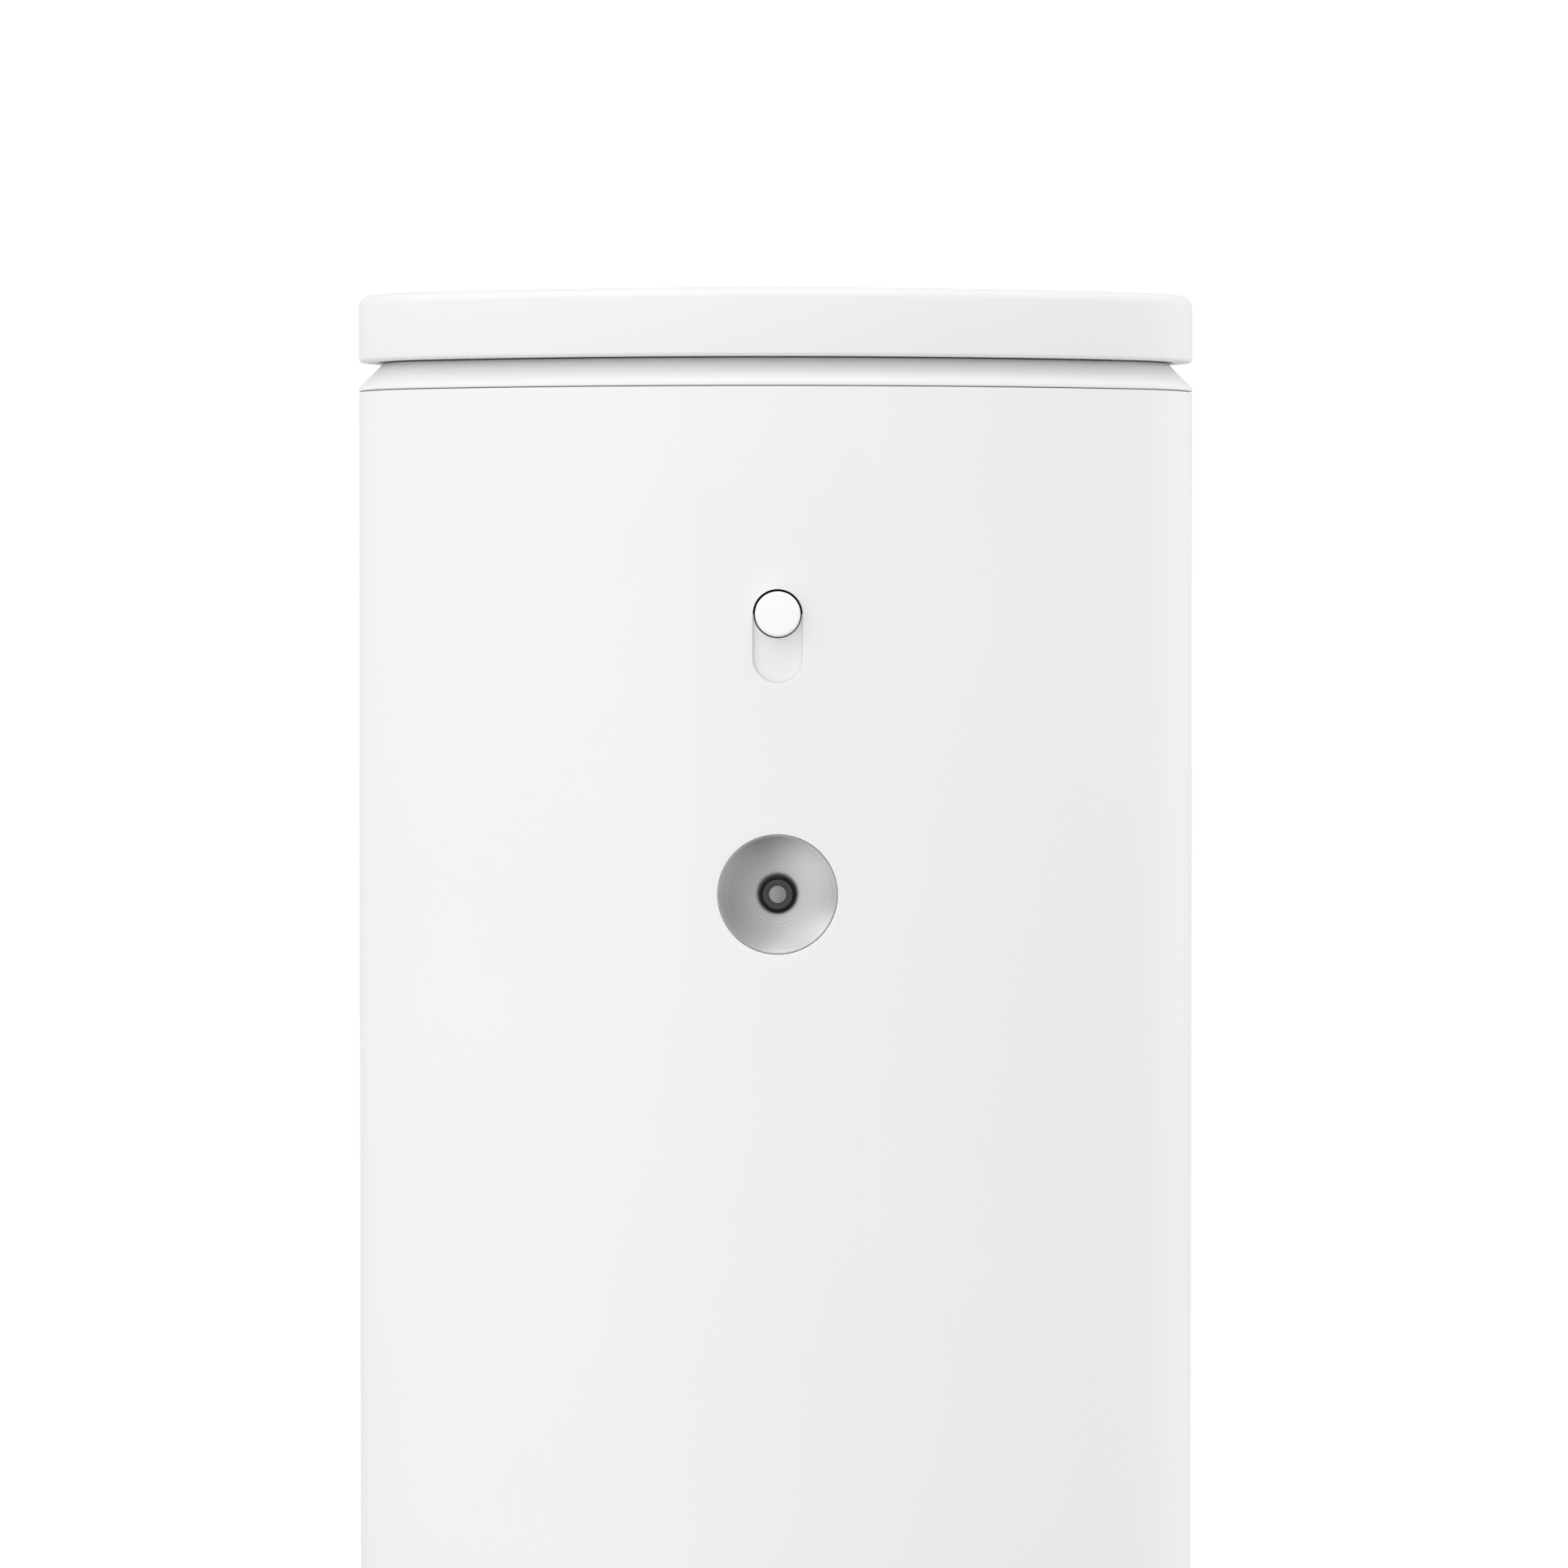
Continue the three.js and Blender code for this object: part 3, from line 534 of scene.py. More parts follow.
def merge(*parts):
    points, faces = [], []
    for more_points, more_faces in parts:
        start = len(points)
        points += more_points
        faces += [tuple(i + start for i in face) for face in more_faces]
    return points, faces


def oval_ring(inset, z):
    return [(*outline(walk, inset), z) for walk in COLUMNS]


def circle(radius, segments):
    angles = steps(0, 2 * math.pi, segments)[:-1]
    return [(radius * math.cos(angle), radius * math.sin(angle)) for angle in angles]


print("an oval ring has", len(oval_ring(0, 0)), "points")

# %% [markdown]
# ## From rings to pieces
# One helper turns points and faces into an object. It welds the points that meet, turns every
# face outwards, and smooths the shading up to an angle, so that fillets look round and creases
# stay crisp. Then it hangs the piece on the body it rides on and hides the CAD nodes it stands
# for. It prints the number of open edges, because a solid piece has none.

# %% Pieces
WELD_WITHIN = 0.004
SLIVER = 0.001


def make_piece(name, part, body, stands_for, slot, smooth_degrees=32):
    """An object in metres, smooth up to an angle, that rides on a body."""
    points, faces = part
    mesh = bpy.data.meshes.new(name)
    mesh.from_pydata([Vector(point) * MM for point in points], [], faces)
    work = bmesh.new()
    work.from_mesh(mesh)
    bmesh.ops.remove_doubles(work, verts=work.verts, dist=WELD_WITHIN * MM)
    bmesh.ops.dissolve_degenerate(work, edges=work.edges, dist=SLIVER * MM)
    bmesh.ops.recalc_face_normals(work, faces=work.faces)
    open_edges = sum(1 for edge in work.edges if not edge.is_manifold)
    work.to_mesh(mesh)
    work.free()
    mesh.shade_smooth()
    mesh.set_sharp_from_angle(angle=math.radians(smooth_degrees))
    mesh.materials.append(finishes[slot])
    made = bpy.data.objects.new(name, mesh)
    bpy.context.scene.collection.objects.link(made)
    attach(made, body)
    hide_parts(*stands_for)
    print(name, len(mesh.polygons), "faces,", open_edges, "open edges")


print("pieces are welded within", WELD_WITHIN, "mm")

# %% [markdown]
# ## Sheets with holes
# The front of the sleeve has two openings. Cutting a curved mesh with a boolean leaves long
# faces that shade badly, so the sleeve's wall is drawn flat, as walk and height, with the
# openings in it, then filled with triangles and rolled back onto the oval.

# %% Holes in a sheet
SAME_POINT = 1e-7


def inside(loop, point):
    """True where a point lies inside a closed loop of points."""
    within = False
    for (ax, ay), (bx, by) in zip(loop, loop[1:] + loop[:1]):
        if (ay > point[1]) != (by > point[1]):
            if point[0] < (bx - ax) * (point[1] - ay) / (by - ay) + ax:
                within = not within
    return within


def sheet_with_holes(points, edges, holes, to_space):
    """Fills flat points with triangles, leaves the holes open and places the result."""
    flat = [Vector(point) for point in points]
    ties = list(edges)
    for hole in holes:
        start = len(flat)
        flat += [Vector(point) for point in hole]
        ties += [(start + i, start + (i + 1) % len(hole)) for i in range(len(hole))]
    corners, _, triangles, *_ = delaunay_2d_cdt(flat, ties, [], 0, SAME_POINT)
    kept = []
    for triangle in triangles:
        middle = sum((corners[i] for i in triangle), Vector((0, 0))) / len(triangle)
        if not any(inside(hole, middle) for hole in holes):
            kept.append(tuple(triangle))
    return [to_space(corner) for corner in corners], kept


unit_square = [(0, 0), (1, 0), (1, 1), (0, 1)]
print("the middle of a square is inside it:", inside(unit_square, (0.5, 0.5)))

# %% [markdown]
# ## The openings in the sleeve
# The slot is a stadium that ends just above the knob, and the dish sits in a round hole. Behind
# the slot the wall is thinned to a pocket, so that the shutter can slide down inside the wall.
# Each opening is one closed loop as (x, z), and the pocket's loop is the slot's loop pushed out
# to a rectangle, point for point, so that the two can be joined by quads.

# %% Loops of the openings
SLOT_HALF = 7.55
SLOT_LENGTH = 28.4
STADIUM_STEPS = 40
DISH_HOLE = 18.2
DISH_HOLE_STEPS = 96
POCKET_HALF = 9.2
POCKET_BELOW_SHUTTER = 13.9
POCKET_ABOVE_SLOT = 1.9
knob_low, knob_high = box_mm("slider_knob")
shutter_low, shutter_high = box_mm("slider_shutter")
KNOB_Z = (knob_low.z + knob_high.z) / 2
SLOT_HIGH = KNOB_Z + SLOT_HALF
SLOT_LOW = SLOT_HIGH - SLOT_LENGTH
DISH_Z = DISH_CENTRE.z / MM


def slot_loop(grown):
    """A closed upright stadium about x = 0, grown all round."""
    half = SLOT_HALF + grown
    low, high = SLOT_LOW - grown + half, SLOT_HIGH + grown - half
    top = [(half * math.cos(a), high + half * math.sin(a)) for a in steps(0, math.pi, STADIUM_STEPS)]
    turn = steps(math.pi, 2 * math.pi, STADIUM_STEPS)
    return top + [(half * math.cos(a), low + half * math.sin(a)) for a in turn]


def dish_loop(grown):
    return [(x, DISH_Z + z) for x, z in circle(DISH_HOLE + grown, DISH_HOLE_STEPS)]


def pocket_loop():
    """The slot's points pushed out to the pocket's upright rectangle."""
    low, high = shutter_low.z - POCKET_BELOW_SHUTTER, SLOT_HIGH + POCKET_ABOVE_SLOT
    pushed = []
    for x, z in slot_loop(0):
        share = (z - SLOT_LOW) / (SLOT_HIGH - SLOT_LOW) * 2 - 1
        across = x / SLOT_HALF
        scale = 1 / max(abs(share), abs(across))
        pushed.append((across * scale * POCKET_HALF, (low + high) / 2 + share * scale * (high - low) / 2))
    return pushed


print("slot from", round(SLOT_LOW, 1), "to", round(SLOT_HIGH, 1), "mm, dish at", round(DISH_Z, 1))

# %% [markdown]
# The wall needs small even triangles near the openings and none elsewhere, so a window round the
# openings gets a grid of points and the rest of the wall is left as plain upright strips. Grid
# points that would crowd an opening's edge are left out.

# %% The wall as a sheet
WINDOW_HALF = 26
WINDOW_ROWS = steps(300, 444, 48)
CLEAR_OF_EDGE = 1.0


def walk_of(x, inset):
    return FACE_RADIUS * math.asin(x / (FACE_RADIUS - inset))


def front_y(x, inset=0.0):
    return outline(walk_of(x, inset), inset)[1]


def wall_sheet(inset, low, high, holes):
    """The sleeve's wall at one inset, between two heights, with holes given as (x, z)."""
    loops = [[(walk_of(x, inset), z) for x, z in hole] for hole in holes]
    points, edges = [], []
    for walk in [-HALF_WALK] + COLUMNS:
        start = len(points)
        points += [(walk, low), (walk, high)]
        if abs(walk) > WINDOW_HALF:
            edges.append((start, start + 1))
            continue
        points += [(walk, WINDOW_ROWS[0]), (walk, WINDOW_ROWS[-1])]
        edges += [(start, start + 2), (start + 3, start + 1)]
        for z in WINDOW_ROWS[1:-1]:
            spot = Vector((walk, z))
            clear = min((spot - Vector(p)).length for loop in loops for p in loop)
            if clear > CLEAR_OF_EDGE and not any(inside(loop, spot) for loop in loops):
                points.append((walk, z))
    return sheet_with_holes(points, edges, loops, lambda c: (*outline(c.x, inset), c.y))


print("window rows every", WINDOW_ROWS[1] - WINDOW_ROWS[0], "mm")

# %% [markdown]
# ## The sleeve
# The sleeve is one moulding, open above and below. Its openings get a rounded lip of about a
# quarter of a millimetre, because it is the light caught on that lip that makes a cut in white
# plastic look real. Outer wall, inner wall, lips and rims are made apart and welded together.

# %% Sleeve
WALL = 2.6
RIM_ROUND = 0.45
LIP = 0.22
LIP_STEPS = 4
POCKET_DEPTH = 1.2
pocket_face = FRONT + POCKET_DEPTH


def lip_loops(loop_of, wall_end):
    """Rings of an opening's rounded lip and wall; loop_of(extra) is the outline grown by extra."""
    rings = []
    for angle in steps(0, math.pi / 2, LIP_STEPS):
        grown = LIP * (1 - math.sin(angle))
        sunk = LIP * (1 - math.cos(angle))
        rings.append([(x, front_y(x) + sunk, z) for x, z in loop_of(grown)])
    rings.append([(x, wall_end(x), z) for x, z in loop_of(0)])
    return rings


def rim(z_edge, z_wall):
    """The rounded edge that joins the outer and inner wall above or below."""
    corners = [(0, z_wall), (0, z_edge, RIM_ROUND), (WALL, z_edge, RIM_ROUND), (WALL, z_wall)]
    return loft([oval_ring(inset, z) for inset, z in rounded(corners)], cap=False)


slot_rings = lip_loops(slot_loop, lambda x: pocket_face)
slot_rings.append([(x, pocket_face, z) for x, z in pocket_loop()])
slot_rings.append([(x, front_y(x, WALL), z) for x, z in pocket_loop()])
dish_rings = lip_loops(dish_loop, lambda x: front_y(x, WALL))
wall_low, wall_high = shell_low.z + RIM_ROUND, SEAM - RIM_ROUND
sleeve = merge(
    wall_sheet(0, wall_low, wall_high, [slot_loop(LIP), dish_loop(LIP)]),
    wall_sheet(WALL, wall_low, wall_high, [pocket_loop(), dish_loop(0)]),
    loft(slot_rings, cap=False), loft(dish_rings, cap=False),
    rim(SEAM, wall_high), rim(shell_low.z, wall_low),
)
make_piece("sleeve", sleeve, "housing", ["body_shell"], "white_shell", 40)

# %% [markdown]
# ## Lid
# The lid is a shallow cap with a soft upper edge and a crisper lower one. It is hollow: a skirt
# hangs from its plate, and a separate liner closes it below, so that air can't leak up into it.
# Both are profiles of (inset, height) swept round the oval. The flat middle needs no rings, so
# it is one large face.

# %% Lid and its underside
LID_TOP_ROUND = 3.4
LID_LOWER_ROUND = 1.2
LID_SKIRT = 3.2
LID_PLATE = 3
LINER_GAP = 0.3
LINER_RING = 6.5
LINER_CEILING = 2.4
FLAT_MIDDLE = 12


def oval_piece(name, corners, body, stands_for, slot, closed=True, arc_steps=6):
    rings = [oval_ring(inset, z) for inset, z in rounded(corners, closed, arc_steps)]
    make_piece(name, loft(rings, closed), body, stands_for, slot)


lid_low, lid_high = box_mm("lid_cap")
oval_piece("lid", [
    (LID_SKIRT, lid_high.z - LID_PLATE), (LID_SKIRT, lid_low.z, 0.3), (0, lid_low.z, LID_LOWER_ROUND),
    (0, lid_high.z, LID_TOP_ROUND), (FLAT_MIDDLE, lid_high.z),
], "lid", ["lid_cap"], "white_shell", closed=False, arc_steps=9)
liner_low, liner_high = box_mm("lid_liner")
liner_out, ceiling = LID_SKIRT + LINER_GAP, liner_high.z - LINER_CEILING
oval_piece("lid_underside", [
    (liner_out, liner_high.z), (liner_out, liner_low.z, 0.3), (LINER_RING, liner_low.z, 0.8),
    (LINER_RING, ceiling, 2), (FLAT_MIDDLE, ceiling),
], "lid", ["lid_liner"], "inner_white", closed=False)

# %% [markdown]
# ## Collar
# The lid hangs over a collar whose face slopes at forty-five degrees, so the air that leaves
# under the lid is turned up and out. The slope ends in a small upright lip above the seam, and
# below it a spigot centres the collar in the sleeve. A closed profile keeps it a thin ring.

# %% Collar
SEAM_GAP = 0.3
COLLAR_LIP = 1.15
COLLAR_LIP_ROUND = 1.3
THROAT = 9.6
THROAT_WALL = 3
SPIGOT_OUT = 2.9
SPIGOT_IN = 4.9
collar_low, collar_high = box_mm("deflector_ring")
lip_low = SEAM + SEAM_GAP
slope_low, slope_top = lip_low + COLLAR_LIP, collar_high.z
oval_piece("collar", [
    (0, lip_low, 0.25), (0, slope_low, COLLAR_LIP_ROUND), (slope_top - slope_low, slope_top, 0.5),
    (THROAT, slope_top, 0.3), (THROAT, lip_low + THROAT_WALL), (SPIGOT_IN, lip_low),
    (SPIGOT_IN, collar_low.z, 0.3), (SPIGOT_OUT, collar_low.z, 0.3), (SPIGOT_OUT, lip_low),
], "housing", ["deflector_ring"], "white_shell")

# %% [markdown]
# ## Base
# The base echoes the lid: the same outline, a small round below, and a slope that runs in under
# the sleeve. It is hollow above, where the fan draws its air.

# %% Base
BASE_ROUND = 1.3
BASE_SLOPE_HEIGHT = 8.6
BASE_SLOPE_INSET = 8.3
WELL_INSET = 12
WELL_FLOOR = 6
base_low, base_high = box_mm("base_plate")
oval_piece("base", [
    (14, base_low.z), (0, base_low.z, BASE_ROUND), (0, base_high.z - BASE_SLOPE_HEIGHT, BASE_ROUND),
    (BASE_SLOPE_INSET, base_high.z, 0.5), (WELL_INSET, base_high.z, 0.3), (WELL_INSET, WELL_FLOOR, 1.5),
    (18, WELL_FLOOR),
], "housing", ["base_plate"], "white_shell", closed=False)

# %% [markdown]
# ## Intake ring
# The intake ring stands in the gap between base and sleeve, so its slots read as a dark line. An
# array modifier along a curve could repeat its bars, but the outline is already a function, so
# the bars are simply placed at even walks along it, each with four softened edges.

# %% Intake ring
GRILLE_INSET = 9.3
GRILLE_THICK = 2
SLOT_PITCH = 5.0
RAIL = 0.9
BAR_HALF = 0.9
BAR_SOFT = 0.25
BAR_BACK = 1.9
OVERLAP = 0.1
FIRST_BAR = 1.5
grille_low, grille_high = box_mm("intake_grille")
BAR_SECTION = [
    (-BAR_HALF, BAR_SOFT), (-BAR_HALF + BAR_SOFT, 0), (BAR_HALF - BAR_SOFT, 0),
    (BAR_HALF, BAR_SOFT), (BAR_HALF, BAR_BACK), (-BAR_HALF, BAR_BACK),
]


def grille_bar(walk):
    """One upright bar with softened edges between the two rails of the intake ring."""
    ends = (grille_low.z + RAIL - OVERLAP, grille_high.z - RAIL + OVERLAP)
    return loft([
        [(*outline(walk + along, GRILLE_INSET + deep), z) for along, deep in BAR_SECTION]
        for z in ends
    ])


def grille_rail(low, high):
    back = GRILLE_INSET + GRILLE_THICK
    corners = [(GRILLE_INSET, low, 0.2), (GRILLE_INSET, high, 0.2), (back, high), (back, low)]
    return loft([oval_ring(inset, z) for inset, z in rounded(corners, True, 3)], closed=True)


bar_count = round(2 * HALF_WALK / SLOT_PITCH)
bars = [grille_bar(walk) for walk in steps(FIRST_BAR - HALF_WALK, HALF_WALK - FIRST_BAR, bar_count)]
rails = [
    grille_rail(grille_low.z, grille_low.z + RAIL), grille_rail(grille_high.z - RAIL, grille_high.z),
]
make_piece("intake_ring", merge(*rails, *bars), "housing", ["intake_grille"], "black_plastic")

# %% [markdown]
# ## Turned pieces
# Feet, knob, dish, bushing and contact are bodies of revolution. Each is a profile of radius and
# depth that is swept round an axis; a point at radius zero closes the piece. A screw modifier
# would do the same, but the rings can be lofted with the helper that is already here.


# %% Turning helpers
def turned_across(name, corners, x, z, body, stands_for, slot, segments=96, arc_steps=5, closed=False):
    """A piece turned about an axis that runs front to back."""
    rings = []
    for radius, y in rounded(corners, closed, arc_steps):
        rings.append([(x + a, y, z + b) for a, b in circle(max(radius, 0), segments)])
    make_piece(name, loft(rings, closed, cap=False), body, stands_for, slot)


def turned_upright(name, corners, x, y, body, stands_for, slot, segments=48, arc_steps=4):
    """A piece turned about an upright axis."""
    rings = []
    for radius, z in rounded(corners, False, arc_steps):
        rings.append([(x + a, y + b, z) for a, b in circle(max(radius, 0), segments)])
    make_piece(name, loft(rings, cap=False), body, stands_for, slot)


print("turning helpers:", turned_across.__name__, turned_upright.__name__)

# %% [markdown]
# ## Feet
# A moulded rubber foot stands on a ring, not on its whole face, so that it doesn't rock. Its
# middle is therefore sunk by less than half a millimetre.

# %% Feet
TREAD = 2
TREAD_SLOPE = 0.5
FOOT_HOLLOW = 0.4
for i in range(1, 5):
    low, high = box_mm(f"foot_pad_{i}")
    middle = (low + high) / 2
    radius = (high.x - low.x) / 2
    turned_upright(f"foot_{i}", [
        (0, FOOT_HOLLOW), (radius - TREAD - TREAD_SLOPE, FOOT_HOLLOW), (radius - TREAD, 0, 0.3),
        (radius, 0, 0.8), (radius, high.z, 0.2), (0, high.z),
    ], middle.x, middle.y, "housing", [f"foot_pad_{i}"], "rubber")

# %% [markdown]
# ## Knob
# The knob is a plain disc with a soft edge on a short stem. The disc goes right through the
# shutter's plane, so that a fine dark gap runs round its lower half.

# %% Knob
KNOB_EDGE = 0.9
STEM_RADIUS = 2.4
knob_radius = (knob_high.x - knob_low.x) / 2
knob_back = shutter_high.y
turned_across("knob", [
    (0, knob_low.y), (knob_radius, knob_low.y, KNOB_EDGE), (knob_radius, knob_back, 0.25),
    (STEM_RADIUS, knob_back, 0.4), (STEM_RADIUS, knob_high.y), (0, knob_high.y),
], 0, KNOB_Z, "slider", ["slider_knob"], "knob_white", arc_steps=8)

# %% [markdown]
# ## Shutter
# The shutter is the thin plate that closes the slot below the knob and travels with it. Its only
# edge in view is the round notch about the knob, so the plate is a loft of one outline with a
# notch, and only the notch gets a rounded lip.

# %% Shutter
SHUTTER_GAP = 0.4
NOTCH_LIP = 0.2
NOTCH_STEPS = 56


def shutter_ring(gap, y):
    """The plate's outline with a round notch that clears the knob by a gap."""
    notch = knob_radius + gap
    top = shutter_high.z
    start = math.asin((top - KNOB_Z) / notch)
    angles = steps(start, -math.pi - start, NOTCH_STEPS)
    arc = [(notch * math.cos(angle), y, KNOB_Z + notch * math.sin(angle)) for angle in angles]
    left, low, right = shutter_low.x, shutter_low.z, shutter_high.x
    return arc + [(left, y, top), (left, y, low), (right, y, low), (right, y, top)]


notch_profile = rounded([
    (SHUTTER_GAP + 2 * NOTCH_LIP, shutter_low.y), (SHUTTER_GAP, shutter_low.y, NOTCH_LIP),
    (SHUTTER_GAP, shutter_high.y),
])[1:]
plate = loft([shutter_ring(gap, y) for gap, y in notch_profile])
make_piece("shutter", plate, "slider", ["slider_shutter"], "white_shell")

# %% [markdown]
# ## Dish
# The dish is a shallow spun bowl that steepens towards its rim, with a flange behind the wall
# that holds it. The bowl's curve is a power of the radius: a power near 2 gives a bowl that
# mirrors the room in one smooth sweep from its dark side to its bright one.

# %% Dish
DISH_EDGE = 18.07
DISH_DEPTH = 4.6
BOWL = DISH_EDGE - 0.3
BOWL_POWER = 2.2
BORE = 4.3
SHEET = 0.8
RIM_SOFT = 0.12
BACK_RADIUS = 14.2
FLANGE_IN = 14.8
FLANGE_OUT = 20.5
flange_front, flange_back = FRONT + 4, FRONT + 4.9
dish_front = dish_low.y / MM


def bowl(radius):
    return dish_front + DISH_DEPTH * (1 - (radius / BOWL) ** BOWL_POWER)


front_curve = [(radius, bowl(radius)) for radius in steps(BOWL, BORE, 40)]
back_curve = [(radius, bowl(radius) + SHEET) for radius in steps(BORE, BACK_RADIUS, 12)]
flange = [
    (FLANGE_IN, flange_back), (FLANGE_OUT, flange_back),
    (FLANGE_OUT, flange_front), (DISH_EDGE, flange_front),
]
rim_curve = rounded([
    flange[-1], (DISH_EDGE, dish_front, RIM_SOFT), (BOWL, dish_front, RIM_SOFT), front_curve[1],
])
turned_across("dish", rim_curve[1:-1] + front_curve[1:] + back_curve + flange, 0, DISH_Z,
              "housing", ["inlet_dish"], "spun_aluminium", segments=160, closed=True)

# %% [markdown]
# ## Bushing and its face
# A black bushing stands in the bowl with a rounded crown. Its head is a hair clear of the bowl,
# on a neck that runs through it. A grey insulating face is sunk into the head by a little, so
# that a ring of shadow parts the two.

# %% Bushing and face
FACE_HOLE = 4.67
FACE_SEAT = 1.7
NECK_OUT = 4
NECK_IN = 3.2
CONTACT = 2.75
FACE_GAP = 0.12
bush_low, bush_high = box_mm("inlet_bushing")
bush_radius = (bush_high.x - bush_low.x) / 2
seat = bowl(bush_radius) - 0.3
face_back = bush_low.y + FACE_SEAT
turned_across("bushing", [
    (FACE_HOLE, bush_low.y, 0.3), (bush_radius, bush_low.y, 0.75), (bush_radius, seat, 0.1),
    (NECK_OUT, seat), (NECK_OUT, bush_high.y), (NECK_IN, bush_high.y), (NECK_IN, face_back),
    (FACE_HOLE, face_back),
], 0, DISH_Z, "housing", ["inlet_bushing"], "black_plastic", arc_steps=8, closed=True)

face_low, face_high = box_mm("inlet_face")
face_in, face_out = CONTACT + FACE_GAP, FACE_HOLE - FACE_GAP
turned_across("contact_face", [
    (face_in, face_low.y, 0.08), (face_out, face_low.y, 0.08),
    (face_out, face_high.y), (face_in, face_high.y),
], 0, DISH_Z, "housing", ["inlet_face"], "grey_plastic", closed=True)

# %% [markdown]
# ## Contact
# The metal contact is slightly domed, which spreads the reflection of the room over it, with a
# chamfer round the dome and a pin behind. A dome of a fifth of a millimetre is enough: a flat
# end would mirror one single tone.

# %% Contact
CROWN = 0.22
CROWN_EDGE = CONTACT - 0.42
CHAMFER = 0.1
PIN_RADIUS = 1.2
contact_low, contact_high = box_mm("inlet_contact")
shoulder = contact_low.y + CHAMFER
pin_front = bush_low.y + 1.6
crown = [
    (radius, contact_low.y + CROWN * (radius / CROWN_EDGE) ** 2) for radius in steps(0, CROWN_EDGE, 10)
]
turned_across("contact", crown + [
    (CROWN_EDGE + CHAMFER, shoulder), (CONTACT - 0.08, shoulder, 0.05),
    (CONTACT, contact_low.y + 0.3, 0.06), (CONTACT, pin_front), (PIN_RADIUS, pin_front),
    (PIN_RADIUS, contact_high.y), (0, contact_high.y),
], 0, DISH_Z, "housing", ["inlet_contact"], "polished_metal")

# %% [markdown]
# ## Pull loop
# The cartridge is drawn up by a loop of woven webbing. It is a flat band bent round two soft
# corners. A curve with a bevelled profile could make it, but a mesh keeps the band's edges
# soft, so it is lofted from small rounded cross-sections that turn with the path.

# %% Pull loop
BAND_THICK = 1.2
BAND_SOFT = 0.5
BEND = 6
INSIDE_BOX = 0.1
tab_low, tab_high = box_mm("pull_tab")
tab_middle = (tab_low + tab_high) / 2
band_half = (tab_high.y - tab_low.y) / 2
reach = tab_high.x - BAND_THICK / 2 - INSIDE_BOX
crest = tab_high.z - BAND_THICK / 2 - INSIDE_BOX
path = rounded([(-reach, tab_low.z), (-reach, crest, BEND), (reach, crest, BEND), (reach, tab_low.z)],
               arc_steps=12)
section = rounded([
    (-BAND_THICK / 2, -band_half, BAND_SOFT), (BAND_THICK / 2, -band_half, BAND_SOFT),
    (BAND_THICK / 2, band_half, BAND_SOFT), (-BAND_THICK / 2, band_half, BAND_SOFT),
], True, 4)
band_rings = []
for i, here in enumerate(path):
    along = (path[min(i + 1, len(path) - 1)] - path[max(i - 1, 0)]).normalized()
    outward = Vector((-along.y, along.x))
    band_rings.append([
        (tab_middle.x + here.x + outward.x * thick, tab_middle.y + wide, here.y + outward.y * thick)
        for thick, wide in section
    ])
make_piece("pull_loop", loft(band_rings), "filter", ["pull_tab"], "webbing")

# %% [markdown]
# ## Floor and backdrop
# The studio is white. The floor and the backdrop are only there for the view: they take the
# object's soft shadow, but throw no light back onto it, so that the light stays under control.
# A faint glow of their own lifts them to the white of a lit studio.

# %% Floor and backdrop
REACH = 14
BACKDROP_LOW, BACKDROP_HIGH = -1, 12
SHEET_LEVEL = 0.9
FLOOR_GLOW = 0.12
BACKDROP_GLOW = 1.0


def studio_sheet(name, points, faces, glow):
    mesh = bpy.data.meshes.new(name)
    mesh.from_pydata(points, [], faces)
    finish = Finish(name)
    patch = finish.noise(3, 2)
    finish.colour(grey(SHEET_LEVEL * 0.99), grey(SHEET_LEVEL), patch)
    finish.rough(0.75 + 0.1 * patch)
    finish.set(Emission_Color=(1, 1, 1, 1), Emission_Strength=glow, Specular_IOR_Level=0.1)
    mesh.materials.append(finish.material)
    made = bpy.data.objects.new(name, mesh)
    bpy.context.scene.collection.objects.link(made)
    made.visible_diffuse = False
    made.visible_glossy = False
    made.visible_shadow = False


floor_points = [(-REACH, -REACH, 0), (REACH, -REACH, 0), (REACH, REACH, 0), (-REACH, REACH, 0)]
studio_sheet("floor", floor_points, [(0, 1, 2, 3)], FLOOR_GLOW)
heights = (BACKDROP_LOW, BACKDROP_HIGH)
dome_rings = [[(REACH * x, REACH * y, z) for x, y in circle(1, 48)] for z in heights]
studio_sheet("backdrop", *loft(dome_rings), BACKDROP_GLOW)
print("floor and backdrop reach", REACH, "m")

# %% [markdown]
# ## Light
# White plastic needs light from every side, or its edges vanish. Each line below is one large
# soft light, very far away: where it stands, how narrow it is and how bright. The three cards
# are black ones, so they take light away: spun metal shows its shape by what it reflects, and
# the cards darken one side of the dish. Area lamps could do this too, but lights written as one
# sum over the sky are smooth, and show no hard lamp edges in the metal.

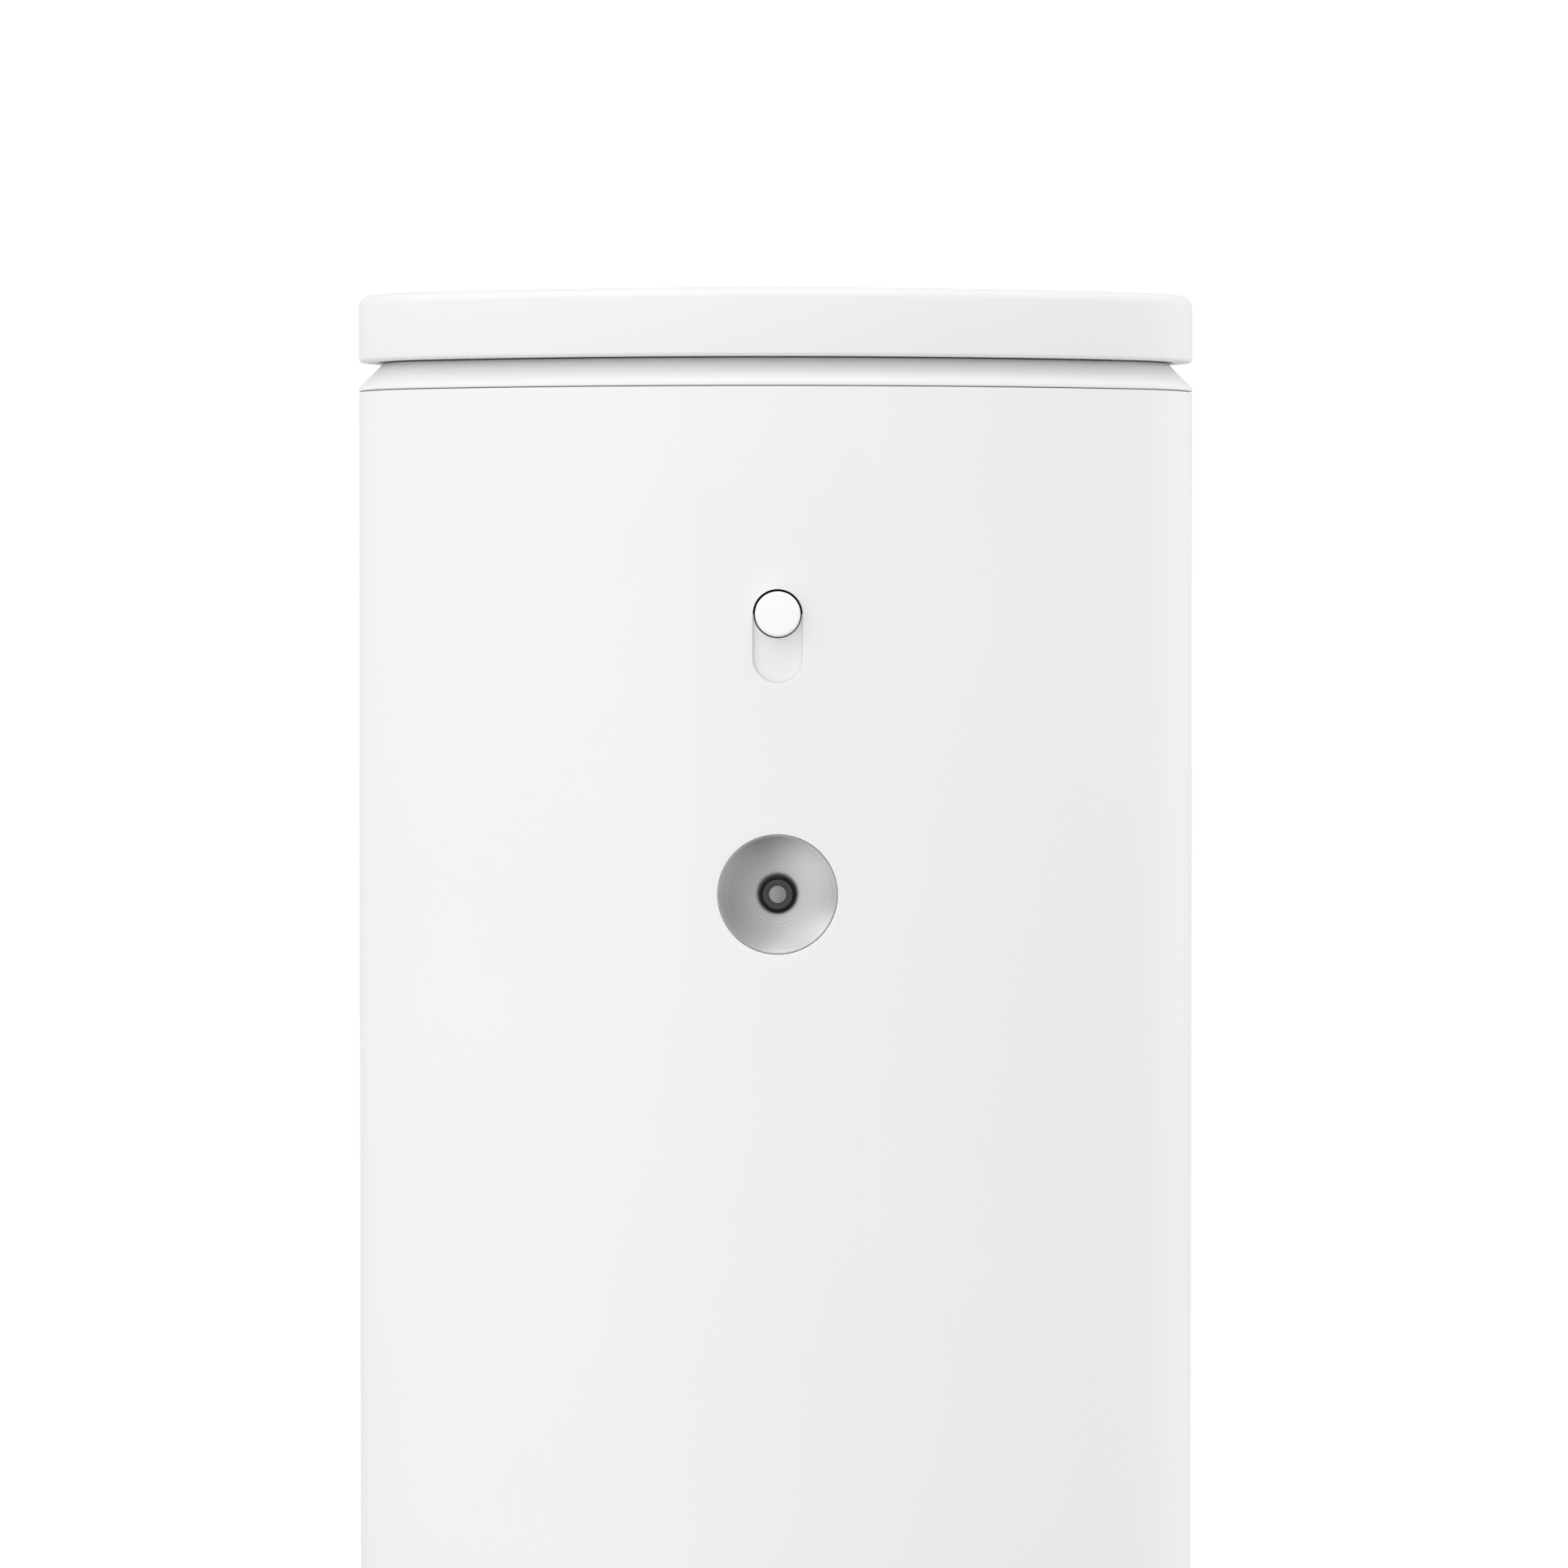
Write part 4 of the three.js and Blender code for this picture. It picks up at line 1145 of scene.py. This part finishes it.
# %% Light
SOFT_LIGHTS = [
    ("right", (1, 0, 0), 2, 1.391),
    ("front", (0, -1, 0), 2, 0.878),
    ("back", (0, 1, 0), 2, 0.66),
    ("above", (0, 0, 1), 2, 0.471),
    ("below", (0, 0, -1), 2, 0.05),
    ("left window", (-1, -1, 0.2), 6, 0.07),
    ("upper left window", (-1, -1, 1.1), 6, 0.9),
    ("back left", (-1, 1, 0), 6, 0.55),
    ("lower left", (-1, -1, -1), 6, 0.82),
    ("left edge", (-1, 0.25, 0), 8, 0.921),
    ("right edge", (1, 0.25, 0), 8, 0.484),
    ("middle window", (0, -1, 0), 8, 0.14),
    ("overhead", (0.03, -0.3, 0.95), 12, 0.925),
    ("overhead spot", (0.02, -0.25, 0.97), 30, 1.295),
    ("left spot", (-0.75, -0.45, 0.48), 30, 0.911),
    ("broad black card", (0.7, -0.7, -0.1), 4, -0.237),
    ("black card", (0.82, -0.57, -0.12), 12, -0.3),
    ("upper black card", (0.8, -0.52, 0.3), 12, -0.34),
    ("left bounce", (-0.8, -0.55, -0.2), 12, 0.24),
]
DARKEST = 0.02
world = bpy.data.worlds.new("studio")
world.use_nodes = True
bpy.context.scene.world = world
background = world.node_tree.nodes["Background"]
background.inputs["Color"].default_value = (1, 1, 1, 1)
studio = Finish("studio", world.node_tree)
direction = studio.node("ShaderNodeTexCoord", {}, {}, "Generated")
glow = 0
for light_name, axis, narrow, strength in SOFT_LIGHTS:
    settings = {"operation": "DOT_PRODUCT", "label": light_name}
    terms = {0: direction, 1: Vector(axis).normalized()}
    facing = studio.node("ShaderNodeVectorMath", settings, terms, "Value")
    glow = facing.above(0) ** narrow * strength + glow
studio.feed(background.inputs["Strength"], glow.above(DARKEST))
print(len(SOFT_LIGHTS), "soft lights")

# %% [markdown]
# White plastic lights itself: light bounces many times between lid, collar and sleeve before it
# leaves a gap, so more bounces are allowed than by default. The plain view transform keeps white
# as white, where a filmic one would turn it grey.

# %% Bounces and view
BOUNCES = 8
bpy.context.scene.view_settings.view_transform = "Standard"
bpy.context.scene.cycles.diffuse_bounces = BOUNCES
print("bounces", bpy.context.scene.cycles.diffuse_bounces)
